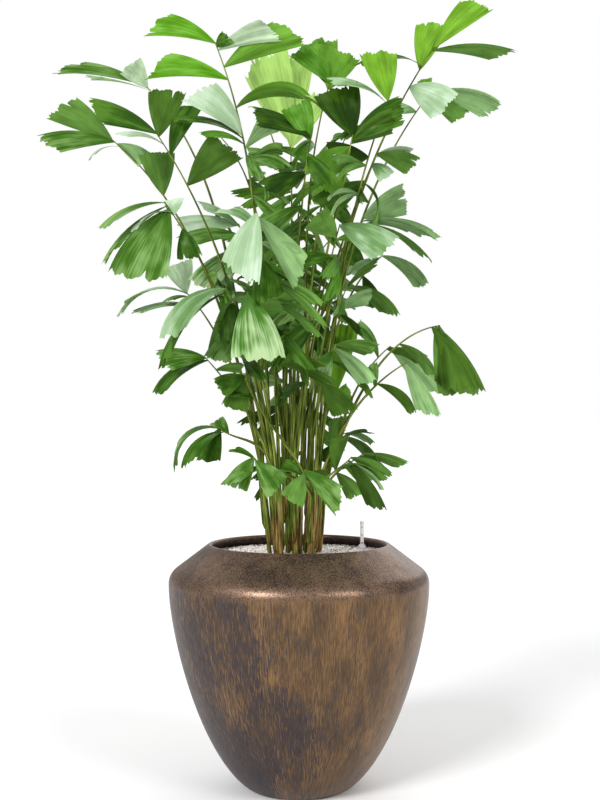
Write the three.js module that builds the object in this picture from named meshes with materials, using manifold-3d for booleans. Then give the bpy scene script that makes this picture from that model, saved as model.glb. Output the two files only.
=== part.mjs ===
// Clustering fishtail palm in a round metal-look planter.
// Millimetres, +Z up. The origin is the middle of the planter's flat underside, and the viewer looks
// along +Y. Thin canes rise from the gravel in one clump, each carries up to four fronds, and every frond
// is a petiole and rib with oblique fishtail leaflets fused onto it.
import * as THREE from 'three';
import { mergeVertices } from 'three/addons/utils/BufferGeometryUtils.js';
import Module from 'manifold-3d';

const wasm = await Module();
wasm.setup();

const { Vector3 } = THREE;
const UP = new Vector3(0, 0, 1);
const CLEARANCE = 0.3;

// Planter
const POT_RADIUS = 300;
const POT_HEIGHT = 557;
const POT_WALL = 12;
const POT_SIDES = 40;
const FOOT_RADIUS = 116;
const FOOT_FLARE = [108, 66];
const SHOULDER_DROP = 116;
const FLOOR_THICKNESS = 14;
const FLOOR_RADIUS = 112;
const SHOULDER_HEIGHT = 468;
const SHOULDER_ROUND = 40;
const SHOULDER_SLOPE = 53;
const LIP_ROUND = 6;
const FILL_HEIGHT = 531;

// Water gauge
const GAUGE_X = 152;
const GAUGE_Y = 119;
const GAUGE_RADIUS = 5.2;
const GAUGE_HEIGHT = 66;
const GAUGE_FOOT_RADIUS = 11.5;

// Clump of canes
const CLUMP_X = -11;
const CLUMP_RADIUS = 69;
const CANE_COUNT = 12;
const CANE_BASE_RADIUS = 10.5;
const CANE_TOP_RADIUS = 8.8;
const CANE_LOWEST_TOP = 612;
const CANE_TOP_SPREAD = 250;
const CANE_FLARE = 0.42;
const CANE_BEND = 9;
const CANE_TURN_SPREAD = 0.35;
const INNER_CANE_RISE = 0.55;
const GOLDEN_ANGLE = 2.399963;

// Fronds. Angles are degrees, and a pair [least, spread] gives the least value and what chance adds to it.
const FROND_COUNT = 45;
const FRONDS_PER_CANE = 4;
const LOWEST_FROND = 730;
const SEAT_RISE = 0.25;
const SEAT_HEIGHT_WEIGHT = 0.4;
const PETIOLE_RADIUS = 3.2;
const RIB_TIP_RADIUS = 1.8;
const PETIOLE_RING = 5.2;
const RIB_SEGMENTS = 7;
const RIB_SIDES = 3;
const RIB_ATTEMPTS = 60;
const RIB_PUSH = [3, 1.5];
const FOOT_HANDLE = 0.4;
const END_HANDLE = 0.3;
const LEAF_THICKNESS = 2.2;
const LENGTH_PER_THICKNESS = 95;
const ROOT_SHARE = 0.7;
const SHORT_EDGE_CUT = 0.28;
const END_ROUNDING = 2.2;
const SHORT_SIDE_SHARE = 0.62;
const EDGE_ROUNDING = 2.2;
const BLADE_MIDDLE = 0.5;
const TIP_LEAN = 0.6;
const BREADTH_SCALE = 1.25;
const EDGE_ON_TURN = 45;
const EDGE_ON_BOW = 62;
const FACE_ON_BOW = 26;
const BOW_SHARE = [0.75, 0.5];
const LEAN = [-11, 34];
const FOLD = [0, 0.2];
const ARCH = 0.05;
const ROOT_SINK = 1;
const FIRST_JOINT = 3;
const JOINT_SPACING = 8;
const FUSE_TOLERANCE = 0.25;

// A crowded leaf is turned about its chord and swung across it by these degrees, one pair after another
const TURNS = [0, 24, -24, 0, 0, 48, -48, 30, -30];
const SWINGS = [0, 0, 0, 12, -12, 8, -8, -20, 20];

// The viewer's eye, which sets how a place seen on the plane of the pot's axis lies nearer or farther
const EYE_DISTANCE = 2800;
const EYE_HEIGHT = 865;

// A rib ends leaning towards its depth as if it came there over this length
const LEAN_LENGTH = 700;

// Fronds that the front view shows. x and z are where the last leaf joint is seen on the plane of the pot's
// axis, depth is how far behind that plane it lies, and bearing is the rib's direction there, in degrees
// from +X towards +Z. Each leaf is [distance back from the last joint, bearing of the tip of the longer edge,
// reach to that tip, turn of the blade away from the viewer, breadth as a share of the reach], and a sixth
// value, where there is one, is the angle the leaf droops through. A breadth below 0 swaps the longer and
// the shorter edge.
const SHOWN_FRONDS = [
  { x: -195, z: 1719, depth: -120, bearing: 112, leaves: [
    [0, 170, 171, 20, -0.32], [0, 60, 40, 0, 0.9], [4, 12, 152, 30, -0.3], [60, 19, 205, 12, -0.3],
    [90, 177, 196, 12, -0.26], [157, 1, 182, 62, 0.3, 110], [221, 150, 162, 15, -0.42],
    [230, 166, 176, 60, 0.26, 60], [244, 172, 112, 50, 0.3, 60]] },
  { x: -332, z: 1509, depth: -70, bearing: 124, leaves: [
    [0, 156, 174, 10, 0.28], [0, 64, 120, 0, -0.6], [38, 172, 120, 62, 0.3, 60], [62, 61, 143, 0, -0.32],
    [141, 30, 147, 0, -0.52]] },
  { x: -436, z: 1494, depth: 20, bearing: 141, leaves: [
    [0, 160, 156, 5, -0.4], [8, 182, 176, 14, 0.26], [14, 335, 92, 20, 0.42], [32, 204, 84, 72, 0.3, 80],
    [180, 114, 110, 5, 0.62]] },
  { x: -358, z: 1619, depth: 170, bearing: 135, leaves: [
    [0, 170, 226, 35, -0.18], [6, 148, 72, 0, -0.7], [22, 173, 156, 72, 0.16, 20]] },
  { x: -312, z: 1348, depth: -150, bearing: 125, leaves: [
    [0, 206, 166, 58, 0.26, 55], [6, 222, 208, 60, 0.24, 40], [12, 235, 210, 0, 0.52],
    [18, 213, 115, 72, 0.3], [24, 115, 42, 10, 1], [75, 300, 85, 10, 0.6]] },
  { x: -98, z: 1325, depth: -300, bearing: 100, leaves: [
    [0, 268, 192, 5, -0.42], [6, 300, 192, 5, -0.3], [60, 150, 125, 60, 0.4], [75, 345, 96, 30, 0.4],
    [120, 262, 112, 10, 0.6]] },
  { x: -140, z: 1297, depth: 60, bearing: 112, leaves: [
    [0, 178, 152, 10, 0.3], [6, 150, 119, 55, 0.3, 40], [37, 192, 160, 40, 0.3, 50], [60, 214, 158, 10, 0.46],
    [80, 60, 90, 40, 0.5]] },
  { x: -172, z: 1148, depth: -250, bearing: 118, leaves: [
    [0, 221, 190, 52, 0.48, 85], [8, 230, 240, 66, 0.22, 60], [16, 253, 150, 10, 0.4], [40, 262, 110, 5, 0.6],
    [100, 225, 118, 10, 0.45]] },
  { x: -262, z: 1139, depth: 70, bearing: 132, leaves: [
    [0, 126, 78, 0, 0.75], [0, 198, 176, 78, 0.4, 100], [4, 192, 72, 66, 0.4],
    [50, 184, 166, 66, 0.26, 50]] },
  { x: -120, z: 1138, depth: -260, bearing: 95, leaves: [
    [0, 294, 176, 0, 0.6], [0, 264, 128, 10, 0.6], [50, 20, 120, 50, 0.5], [95, 175, 95, 40, 0.5]] },
  { x: -218, z: 988, depth: -70, bearing: 132, leaves: [
    [0, 178, 120, 20, 0.4], [4, 213, 152, 58, 0.4, 65], [40, 10, 70, 40, 0.4]] },
  { x: -125, z: 946, depth: -150, bearing: 105, leaves: [
    [0, 192, 76, 0, 0.6], [0, 232, 82, 0, 0.65], [0, 52, 72, 20, 0.6], [60, 165, 70, 55, 0.45]] },
  { x: -185, z: 825, depth: -70, bearing: 132, leaves: [
    [0, 240, 92, 8, 0.5], [4, 222, 140, 80, 0.5, 125], [10, 222, 138, 60, 0.4, 90], [20, 150, 50, 30, 0.6]] },
  { x: -106, z: 757, depth: -180, bearing: 118, leaves: [
    [0, 227, 92, 10, 0.55], [0, 294, 94, 5, 0.6], [6, 157, 78, 60, 0.25], [42, 204, 112, 50, 0.3]] },
  { x: 14, z: 728, depth: -230, bearing: 80, leaves: [
    [0, 309, 132, 20, -0.38], [0, 261, 83, 5, 0.6], [40, 160, 70, 50, 0.5], [40, 20, 60, 50, 0.5]] },
  { x: 122, z: 757, depth: -70, bearing: 52, leaves: [
    [0, 336, 112, 40, 0.4], [4, 304, 146, 25, 0.27], [8, 322, 110, 72, 0.35], [50, 70, 90, 30, 0.45],
    [50, 6, 95, 66, 0.4]] },
  { x: 150, z: 765, depth: 60, bearing: 38, leaves: [
    [0, 347, 112, 30, 0.26], [0, 328, 68, 20, 0.6], [55, 335, 78, 30, 0.5], [80, 318, 80, 20, 0.5]] },
  { x: 104, z: 812, depth: 90, bearing: 60, leaves: [
    [0, 340, 76, 66, 0.5], [0, 322, 112, 78, 0.4], [24, 12, 84, 74, 0.4], [30, 222, 58, 10, 0.8],
    [50, 72, 88, 15, 0.4]] },
  { x: 327, z: 1061, depth: -50, bearing: 8, leaves: [
    [0, 288, 172, 22, 0.36], [4, 304, 200, 0, 0.44], [8, 306, 188, 25, 0.3], [105, 318, 120, 62, 0.4]] },
  { x: 212, z: 1013, depth: 70, bearing: 38, leaves: [
    [0, 321, 176, 22, 0.28], [4, 345, 96, 40, 0.4], [40, 120, 100, 50, 0.4]] },
  { x: 248, z: 974, depth: -110, bearing: 30, leaves: [
    [0, 302, 150, 5, 0.28], [84, 321, 120, 55, 0.36, 70], [90, 90, 60, 40, 0.5]] },
  { x: 86, z: 1018, depth: -150, bearing: 55, leaves: [
    [0, 358, 104, 40, 0.4], [0, 318, 130, 40, 0.36], [10, 262, 80, 5, 0.7], [45, 318, 138, 70, 0.3],
    [100, 318, 114, 5, 0.45]] },
  { x: 72, z: 880, depth: 110, bearing: 74, leaves: [
    [0, 74, 212, 5, 0.3], [0, 48, 70, 20, 0.6], [30, 110, 110, 50, 0.4]] },
  { x: 113, z: 1152, depth: 40, bearing: 62, leaves: [
    [0, 330, 140, 45, 0.3, 90], [0, 42, 118, 62, 0.24, 40], [60, 28, 95, 35, 0.4], [66, 318, 95, 60, 0.3],
    [30, 190, 90, 40, 0.5]] },
  { x: 194, z: 1224, depth: 130, bearing: 40, leaves: [
    [0, 322, 134, 50, 0.32, 70], [0, 208, 95, 40, 0.4], [60, 120, 90, 20, 0.5], [70, 300, 90, 40, 0.5]] },
  { x: 150, z: 1312, depth: 20, bearing: 60, leaves: [
    [0, 34, 122, 5, 0.5], [4, 345, 190, 74, 0.25], [8, 332, 192, 74, 0.16, 60], [12, 358, 180, 70, 0.22, 60],
    [45, 120, 85, 40, 0.5]] },
  { x: 95, z: 1296, depth: -170, bearing: 75, leaves: [
    [0, 341, 146, 5, 0.46], [30, 120, 78, 10, 0.8], [35, 358, 118, 62, 0.45], [80, 190, 90, 40, 0.5]] },
  { x: 315, z: 1708, depth: -50, bearing: 55, leaves: [
    [0, 33, 158, 5, -0.32], [8, 358, 200, 62, 0.2, 30], [54, 188, 168, 58, 0.28], [58, 60, 124, 5, 0.5],
    [108, 338, 122, 0, 0.6]] },
  { x: 208, z: 1587, depth: -180, bearing: 68, leaves: [
    [0, 117, 124, 5, -0.58], [0, 166, 155, 60, 0.36], [70, 200, 100, 50, 0.4], [140, 168, 105, 0, 0.65]] },
  { x: 306, z: 1602, depth: 60, bearing: 52, leaves: [
    [0, 343, 176, 38, 0.3, 60], [4, 341, 108, 20, 0.45], [8, 80, 50, 20, 0.6], [58, 160, 60, 30, 0.6]] },
  { x: 181, z: 1462, depth: -130, bearing: 66, leaves: [
    [0, 347, 104, 25, 0.42], [0, 8, 92, 48, 0.3], [0, 183, 122, 52, 0.34], [6, 330, 56, 10, 0.7],
    [70, 200, 140, 40, 0.4]] },
  { x: 73, z: 1628, depth: -60, bearing: 72, leaves: [
    [0, 141, 114, 5, -0.62], [8, 86, 108, 5, 0.62], [16, 50, 100, 5, -0.8], [70, 165, 90, 60, 0.4]] },
  { x: -20, z: 1495, depth: 240, bearing: 92, leaves: [
    [0, 113, 208, 0, -0.4], [6, 98, 236, 0, 0.4], [12, 80, 228, 0, -0.38], [18, 58, 152, 5, -0.6],
    [70, 165, 110, 40, 0.5]] },
  { x: 125, z: 1504, depth: -210, bearing: 78, leaves: [
    [0, 93, 129, 0, 0.72], [6, 43, 154, 35, 0.42], [14, 33, 126, 30, 0.42], [22, 215, 122, 5, 0.8]] },
  { x: 28, z: 1502, depth: -260, bearing: 80, leaves: [
    [0, 155, 156, 30, 0.36], [0, 98, 106, 5, 0.6], [50, 320, 110, 50, 0.4], [90, 200, 120, 30, 0.5]] },
];

// Fronds of the back and the flanks follow a golden-angle rule inside these sizes
const HIDDEN_LEAVES = 16;
const HIDDEN_BACK_AZIMUTH = 90;
const HIDDEN_AZIMUTH_SPREAD = 150;
const HIDDEN_LOWEST = 1000;
const HIDDEN_HEIGHT_SPREAD = 690;
const HIDDEN_REACH_LOW = [70, 270];
const HIDDEN_REACH_HIGH = [250, 410];
const HIDDEN_REACH_SHARE = [0.8, 0.3];
const HIDDEN_SLOPE = [20, 35];
const GOLDEN_SHARE = 0.618034;

// High fronds carry leaves farther down their ribs too, which fill the middle of the crown
const LOWER_LEAVES = 8;
const LOWER_LEAVES_FROM = 1240;
const LOWER_LEAVES_BACK = 150;

// Leaves by rule
const RULED_HALF_WIDTH = 170;
const LEAFY_SHARE = 0.62;
const LEAF_SPACING = 30;
const SPACING_SHARE = [0.8, 0.4];
const TERMINAL_SPLAY = 8;
const SIDE_SPLAY = [50, 22];
const DROOP = [0.25, 0.5];
const RULED_REACH = [150, 50];
const RULED_BOW = [28, 30];
const TERMINAL_BREADTH = 0.6;
const SIDE_BREADTH = 0.44;

const MATERIALS = {
  pot: new THREE.MeshStandardMaterial({ color: 0x7a6450, roughness: 0.42, metalness: 0.7 }),
  fill: new THREE.MeshStandardMaterial({ color: 0xb4aea6, roughness: 0.95, metalness: 0 }),
  gauge: new THREE.MeshStandardMaterial({ color: 0xdfe0de, roughness: 0.4, metalness: 0 }),
  cane: new THREE.MeshStandardMaterial({ color: 0x7d7440, roughness: 0.85, metalness: 0 }),
  frond: new THREE.MeshStandardMaterial({ color: 0x4f8a24, roughness: 0.55, metalness: 0 }),
};

const radians = (degrees) => degrees * Math.PI / 180;

// A repeatable share from 0 to 1 for a set of whole numbers
function chance(...keys) {
  let state = 2166136261;
  for (const key of keys) {
    state = Math.imul(state ^ (key + 1), 16777619) >>> 0;
    state = (state ^ (state >>> 15)) >>> 0;
  }
  state = Math.imul(state, 2246822507) >>> 0;
  return ((state ^ (state >>> 13)) >>> 0) / 4294967296;
}

function within([least, spread], ...keys) {
  return least + spread * chance(...keys);
}

function solidFrom(geometry) {
  geometry.deleteAttribute('normal');
  geometry.deleteAttribute('uv');
  const merged = mergeVertices(geometry, 1e-4);
  return new wasm.Manifold(new wasm.Mesh({
    numProp: 3,
    vertProperties: new Float32Array(merged.attributes.position.array),
    triVerts: new Uint32Array(merged.index.array),
  }));
}

function geometryFrom(solid) {
  const mesh = solid.getMesh();
  const geometry = new THREE.BufferGeometry();
  geometry.setAttribute('position', new THREE.BufferAttribute(new Float32Array(mesh.vertProperties), 3));
  geometry.setIndex(new THREE.BufferAttribute(new Uint32Array(mesh.triVerts), 1));
  geometry.computeVertexNormals();
  return geometry;
}

function named(name, geometry, material) {
  const mesh = new THREE.Mesh(geometry, material);
  mesh.name = name;
  return mesh;
}

// Lathe profile points are [radius, height]; the turned body stands on +Z
function turned(profile, sides) {
  const points = profile.map(([radius, height]) => new THREE.Vector2(radius, height));
  return new THREE.LatheGeometry(points, sides).rotateX(Math.PI / 2);
}

// The planter's outer outline as [point, outward normal], from the foot to the start of the lip
function potOutline() {
  const body = new THREE.CubicBezierCurve(
    new THREE.Vector2(FOOT_RADIUS, 0),
    new THREE.Vector2(FOOT_RADIUS + FOOT_FLARE[0], FOOT_FLARE[1]),
    new THREE.Vector2(POT_RADIUS, SHOULDER_HEIGHT - SHOULDER_DROP),
    new THREE.Vector2(POT_RADIUS, SHOULDER_HEIGHT),
  );
  const outline = [0.1, 0.25, 0.45, 0.7, 1].map((share) => {
    const tangent = body.getTangent(share);
    return [body.getPoint(share), new THREE.Vector2(tangent.y, -tangent.x)];
  });
  const centre = new THREE.Vector2(POT_RADIUS - SHOULDER_ROUND, SHOULDER_HEIGHT);
  for (const share of [0.4, 0.72, 1]) {
    const angle = radians(SHOULDER_SLOPE) * share;
    const normal = new THREE.Vector2(Math.cos(angle), Math.sin(angle));
    outline.push([centre.clone().addScaledVector(normal, SHOULDER_ROUND), normal]);
  }
  const [edge, normal] = outline.at(-1);
  const rise = POT_HEIGHT - LIP_ROUND * (1 - Math.sin(radians(SHOULDER_SLOPE))) - edge.y;
  const along = new THREE.Vector2(-normal.y, normal.x).multiplyScalar(rise / normal.x);
  outline.push([edge.clone().add(along), normal]);
  return outline;
}

// The inner wall follows every second point of the outline, so that it ends under the lip
function inside(outline, depth) {
  return outline.filter((_, index) => index % 2 === 0)
    .map(([point, normal]) => point.clone().addScaledVector(normal, -depth));
}

function potGeometry() {
  const outline = potOutline();
  const outer = outline.map(([point]) => [point.x, point.y]);
  const inner = inside(outline, POT_WALL).map((point) => [point.x, point.y]);
  const [lipStart, lipNormal] = outline.at(-1);
  const lipCentre = lipStart.clone().addScaledVector(lipNormal, -LIP_ROUND);
  const lip = [90, 165, 232].map((degrees) => [
    lipCentre.x + LIP_ROUND * Math.cos(radians(degrees)),
    lipCentre.y + LIP_ROUND * Math.sin(radians(degrees)),
  ]);
  const profile = [[0, 0], [FOOT_RADIUS - 3, 0], [FOOT_RADIUS + 2, 2], ...outer, ...lip,
    ...inner.slice(0, -1).reverse(), [FLOOR_RADIUS, FLOOR_THICKNESS], [0, FLOOR_THICKNESS]];
  return turned(profile, POT_SIDES);
}

// Substrate with its flat gravel top, one clearance off the planter's wall and floor
function fillGeometry() {
  const wall = inside(potOutline(), POT_WALL + CLEARANCE);
  const below = wall.filter((point) => point.y < FILL_HEIGHT);
  const last = below.at(-1);
  const next = wall[below.length];
  const share = (FILL_HEIGHT - last.y) / (next.y - last.y);
  const edge = last.clone().lerp(next, share);
  const floor = FLOOR_THICKNESS + CLEARANCE;
  return turned([[0, floor], [FLOOR_RADIUS - CLEARANCE, floor],
    ...below.map((point) => [point.x, point.y]), [edge.x, FILL_HEIGHT], [0, FILL_HEIGHT]], POT_SIDES);
}

function gaugeGeometry() {
  const dome = [0, 35, 65].map((degrees) => [
    GAUGE_FOOT_RADIUS * Math.cos(radians(degrees)),
    GAUGE_FOOT_RADIUS * Math.sin(radians(degrees)),
  ]);
  return turned([[0, 0], ...dome, [GAUGE_RADIUS, GAUGE_FOOT_RADIUS], [GAUGE_RADIUS, GAUGE_HEIGHT - 1],
    [GAUGE_RADIUS - 1, GAUGE_HEIGHT], [0, GAUGE_HEIGHT]], 12);
}

// A limb with a regular section: a closed cylinder bent along the curve, tapering from foot to tip.
// The side direction keeps its section from twisting. Its foot is cut level, and its top where levelTop
// says so.
function limbGeometry(curve, side, footRadius, tipRadius, sides, segments, levelTop) {
  const geometry = new THREE.CylinderGeometry(tipRadius, footRadius, 1, sides, segments);
  const position = geometry.attributes.position;
  const local = new Vector3();
  for (let index = 0; index < position.count; index += 1) {
    local.fromBufferAttribute(position, index);
    const share = local.y + 0.5;
    const centre = curve.getPoint(share);
    const isLevel = share < 1e-6 || (levelTop && share > 1 - 1e-6);
    const along = isLevel ? UP.clone() : curve.getTangent(share);
    const across = side.clone().addScaledVector(along, -side.dot(along)).normalize();
    const third = along.clone().cross(across);
    centre.addScaledVector(across, local.z).addScaledVector(third, local.x);
    position.setXYZ(index, centre.x, centre.y, centre.z);
  }
  return geometry;
}

// Canes stand in a sunflower pattern and splay a little; the tops differ in height
function caneCurve(index) {
  const ring = CLUMP_RADIUS * Math.sqrt((index + 0.5) / CANE_COUNT);
  const azimuth = GOLDEN_ANGLE * index + CANE_TURN_SPREAD * (chance(index, 1) - 0.5);
  const foot = new Vector3(CLUMP_X + ring * Math.cos(azimuth), ring * Math.sin(azimuth),
    FILL_HEIGHT + CLEARANCE);
  const inner = 1 - index / CANE_COUNT;
  const rise = INNER_CANE_RISE * inner + (1 - INNER_CANE_RISE) * chance(index, 2);
  const top = CANE_LOWEST_TOP + CANE_TOP_SPREAD * rise;
  const flare = CANE_FLARE * (top - foot.z) / CANE_TOP_SPREAD * ring;
  const end = new Vector3(foot.x + flare * Math.cos(azimuth), foot.y + flare * Math.sin(azimuth), top);
  const bend = new Vector3().lerpVectors(foot, end, 0.5);
  bend.x += CANE_BEND * (chance(index, 3) - 0.5);
  bend.y += CANE_BEND * (chance(index, 4) - 0.5);
  return new THREE.QuadraticBezierCurve3(foot, bend, end);
}

// A place seen on the plane of the pot's axis, moved along the line of sight to its depth
function seen(x, z, depth) {
  const scale = (EYE_DISTANCE + depth) / EYE_DISTANCE;
  return new Vector3(x * scale, depth, EYE_HEIGHT + (z - EYE_HEIGHT) * scale);
}

function bearingVector(bearing, lean) {
  const flat = Math.cos(lean);
  return new Vector3(Math.cos(bearing) * flat, -Math.sin(lean), Math.sin(bearing) * flat);
}

// Plans say where each frond ends and how its rib runs there
function shownPlan(row, number) {
  const end = seen(row.x, row.z, row.depth);
  const lean = -Math.atan2(row.depth, LEAN_LENGTH);
  const along = bearingVector(radians(row.bearing), lean);
  const lower = row.z > LOWER_LEAVES_FROM ? LOWER_LEAVES : 0;
  return { end, along, depth: row.depth, rows: row.leaves, lower, number };
}

function hiddenPlan(number) {
  const step = number - SHOWN_FRONDS.length;
  const share = (step * GOLDEN_SHARE + 0.2) % 1;
  const turn = (step + 0.5) / (FROND_COUNT - SHOWN_FRONDS.length) - 0.5;
  const azimuth = radians(HIDDEN_BACK_AZIMUTH + HIDDEN_AZIMUTH_SPREAD * turn);
  const height = HIDDEN_LOWEST + HIDDEN_HEIGHT_SPREAD * share;
  const vary = within(HIDDEN_REACH_SHARE, number, 5);
  const [reachX, reachY] = HIDDEN_REACH_LOW.map((low, axis) => vary
    * (low + (HIDDEN_REACH_HIGH[axis] - low) * share));
  const end = new Vector3(CLUMP_X + reachX * Math.cos(azimuth), reachY * Math.sin(azimuth), height);
  const slope = radians(within(HIDDEN_SLOPE, number, 6));
  const flat = Math.cos(slope);
  const along = new Vector3(Math.cos(azimuth) * flat, Math.sin(azimuth) * flat, Math.sin(slope));
  return { end, along, rows: [], lower: HIDDEN_LEAVES, number };
}

// Each frond takes a free place on the cane whose top suits its direction and height best
function seatFronds(plans, canes) {
  const taken = canes.map(() => 0);
  for (const plan of plans) {
    const wanted = CANE_LOWEST_TOP + SEAT_RISE * (plan.end.z - LOWEST_FROND);
    const costs = canes.map((curve, index) => {
      const top = curve.getPoint(1);
      const rise = Math.max(plan.end.z - FILL_HEIGHT, 1);
      const share = (top.z - FILL_HEIGHT) / rise;
      const x = CLUMP_X + (plan.end.x - CLUMP_X) * share;
      const y = plan.end.y * share;
      const full = taken[index] >= FRONDS_PER_CANE ? 1e6 : 0;
      return Math.hypot(top.x - x, top.y - y) + SEAT_HEIGHT_WEIGHT * Math.abs(top.z - wanted) + full;
    });
    plan.cane = costs.indexOf(Math.min(...costs));
    taken[plan.cane] += 1;
  }
  // On one cane the petioles stand round its top in the order of their directions
  canes.forEach((curve, index) => {
    const top = curve.getPoint(1);
    const own = plans.filter((plan) => plan.cane === index);
    own.forEach((plan) => {
      plan.azimuth = Math.atan2(plan.end.y - top.y, plan.end.x - top.x);
    });
    own.sort((a, b) => a.azimuth - b.azimuth);
    const middle = own.reduce((sum, plan) => sum + plan.azimuth, 0) / own.length;
    own.forEach((plan, place) => {
      const angle = middle + (place - (own.length - 1) / 2) * 2 * Math.PI / FRONDS_PER_CANE;
      plan.foot = new Vector3(top.x + PETIOLE_RING * Math.cos(angle), top.y + PETIOLE_RING * Math.sin(angle),
        top.z + CLEARANCE);
    });
  });
}

// The petiole and rib as one curve; a later attempt bows it aside to pass its neighbours
function ribCurve(plan, attempt) {
  const span = plan.end.distanceTo(plan.foot);
  const heading = plan.end.clone().sub(plan.foot).normalize();
  const rise = UP.clone().lerp(heading, 0.5).normalize();
  const first = plan.foot.clone().addScaledVector(rise, FOOT_HANDLE * span);
  const second = plan.end.clone().addScaledVector(plan.along, -END_HANDLE * span);
  const aside = attempt * GOLDEN_ANGLE;
  const push = attempt === 0 ? 0 : RIB_PUSH[0] + RIB_PUSH[1] * attempt;
  for (const control of [first, second]) {
    control.x += push * Math.cos(aside);
    control.y += push * Math.sin(aside);
  }
  return new THREE.CubicBezierCurve3(plan.foot, first, second, plan.end);
}

function ribSide(plan) {
  const azimuth = Math.atan2(plan.end.y - plan.foot.y, plan.end.x - plan.foot.x);
  return new Vector3(-Math.sin(azimuth), Math.cos(azimuth), 0);
}

function ribSolid(plan, curve) {
  return solidFrom(limbGeometry(curve, ribSide(plan), PETIOLE_RADIUS, RIB_TIP_RADIUS, RIB_SIDES,
    RIB_SEGMENTS, false));
}

// A leaflet: where it starts, its chord to the tip, the way its longer edge lies, and its sizes.
// A later attempt turns it about its chord and swings it, to keep clear of what stands there already.
function shownLeaf(plan, row, order) {
  const [back, bearing, reach, turn, breadth, bow] = row;
  const lean = radians(within(LEAN, plan.number, order, 7));
  const chord = bearingVector(radians(bearing), lean);
  const flat = new Vector3(-Math.sin(radians(bearing)), 0, Math.cos(radians(bearing)));
  const deep = chord.clone().cross(flat);
  const across = flat.multiplyScalar(Math.cos(radians(turn))).addScaledVector(deep, Math.sin(radians(turn)));
  const bowLike = turn > EDGE_ON_TURN ? EDGE_ON_BOW : FACE_ON_BOW;
  const usual = bowLike * within(BOW_SHARE, plan.number, order, 8);
  const near = 1 + plan.depth / EYE_DISTANCE;
  return {
    back: near * back,
    chord,
    across,
    reach: near * reach,
    breadth: BREADTH_SCALE * breadth * near * reach,
    bow: radians(bow || usual),
  };
}

// Leaves by rule stand on alternate sides of the rib and droop
function ruledLeaf(plan, order) {
  const number = plan.number;
  const terminal = order === 0;
  const step = order - plan.rows.length;
  const start = plan.rows.length > 0 ? LOWER_LEAVES_BACK : 0;
  const back = start + step * LEAF_SPACING * within(SPACING_SHARE, number, order, 9);
  const along = plan.curve.getTangentAt(1 - back / plan.curve.getLength());
  const level = along.clone().cross(UP).normalize();
  const handed = order % 2 === 0 ? 1 : -1;
  const splay = radians(terminal ? TERMINAL_SPLAY : within(SIDE_SPLAY, number, order, 10));
  const chord = along.clone().multiplyScalar(Math.cos(splay));
  chord.addScaledVector(level, handed * Math.sin(splay));
  chord.z -= within(DROOP, number, order, 11);
  chord.normalize();
  const across = terminal ? level.clone() : along.clone();
  const reach = within(RULED_REACH, number, order, 12);
  const breadth = reach * (terminal ? TERMINAL_BREADTH : SIDE_BREADTH);
  const bow = radians(within(RULED_BOW, number, order, 13));
  return { back, chord, across, reach, breadth, bow };
}

function placeLeaf(plan, order) {
  const leaf = order < plan.rows.length ? shownLeaf(plan, plan.rows[order], order) : ruledLeaf(plan, order);
  leaf.back = Math.max(leaf.back, plan.lastJoint + JOINT_SPACING);
  plan.lastJoint = leaf.back;
  const share = 1 - leaf.back / plan.curve.getLength();
  const along = plan.curve.getTangentAt(share);
  leaf.across.addScaledVector(leaf.chord, -leaf.across.dot(leaf.chord)).normalize();
  if (leaf.across.dot(along) * leaf.breadth < 0) {
    leaf.across.negate();
  }
  leaf.breadth = Math.abs(leaf.breadth);
  leaf.arch = ARCH * leaf.reach * leaf.across.z;
  leaf.fold = within(FOLD, plan.number, order, 14);
  leaf.root = plan.curve.getPointAt(share).addScaledVector(leaf.chord, -ROOT_SINK);
  return leaf;
}

function attemptLeaf(leaf, attempt) {
  const chord = leaf.chord.clone().applyAxisAngle(leaf.across, radians(SWINGS[attempt]));
  const across = leaf.across.clone().applyAxisAngle(chord, radians(TURNS[attempt]));
  const face = chord.clone().cross(across);
  if (face.z < 0) {
    face.negate();
  }
  return { ...leaf, chord, across, face };
}

// A point of the blade: vein runs from -1, the short edge, to 1, the long edge; part runs from 0 at the root
// to 1 at the jagged end
function bladePoint(leaf, vein, part, lift) {
  const length = 1 - SHORT_EDGE_CUT * ((1 - vein) / 2) ** END_ROUNDING;
  const run = part * length;
  const side = vein < 0 ? SHORT_SIDE_SHARE : 1 - SHORT_SIDE_SHARE;
  const spread = leaf.breadth * side * vein * (1 - (1 - run) ** EDGE_ROUNDING);
  const lean = TIP_LEAN * leaf.breadth * (1 - SHORT_SIDE_SHARE) * run;
  const sickle = 4 * leaf.arch * run * (1 - run);
  const angle = leaf.bow * (0.5 - run);
  const radius = leaf.reach / (2 * Math.sin(leaf.bow / 2));
  const forward = radius * (Math.sin(leaf.bow / 2) - Math.sin(angle));
  const height = radius * (Math.cos(angle) - Math.cos(leaf.bow / 2));
  const normal = leaf.face.clone().multiplyScalar(Math.cos(angle));
  normal.addScaledVector(leaf.chord, -Math.sin(angle));
  return leaf.root.clone().addScaledVector(leaf.chord, forward).addScaledVector(leaf.face, height)
    .addScaledVector(leaf.across, spread - lean + sickle)
    .addScaledVector(normal, leaf.fold * Math.abs(spread) + lift);
}

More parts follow.
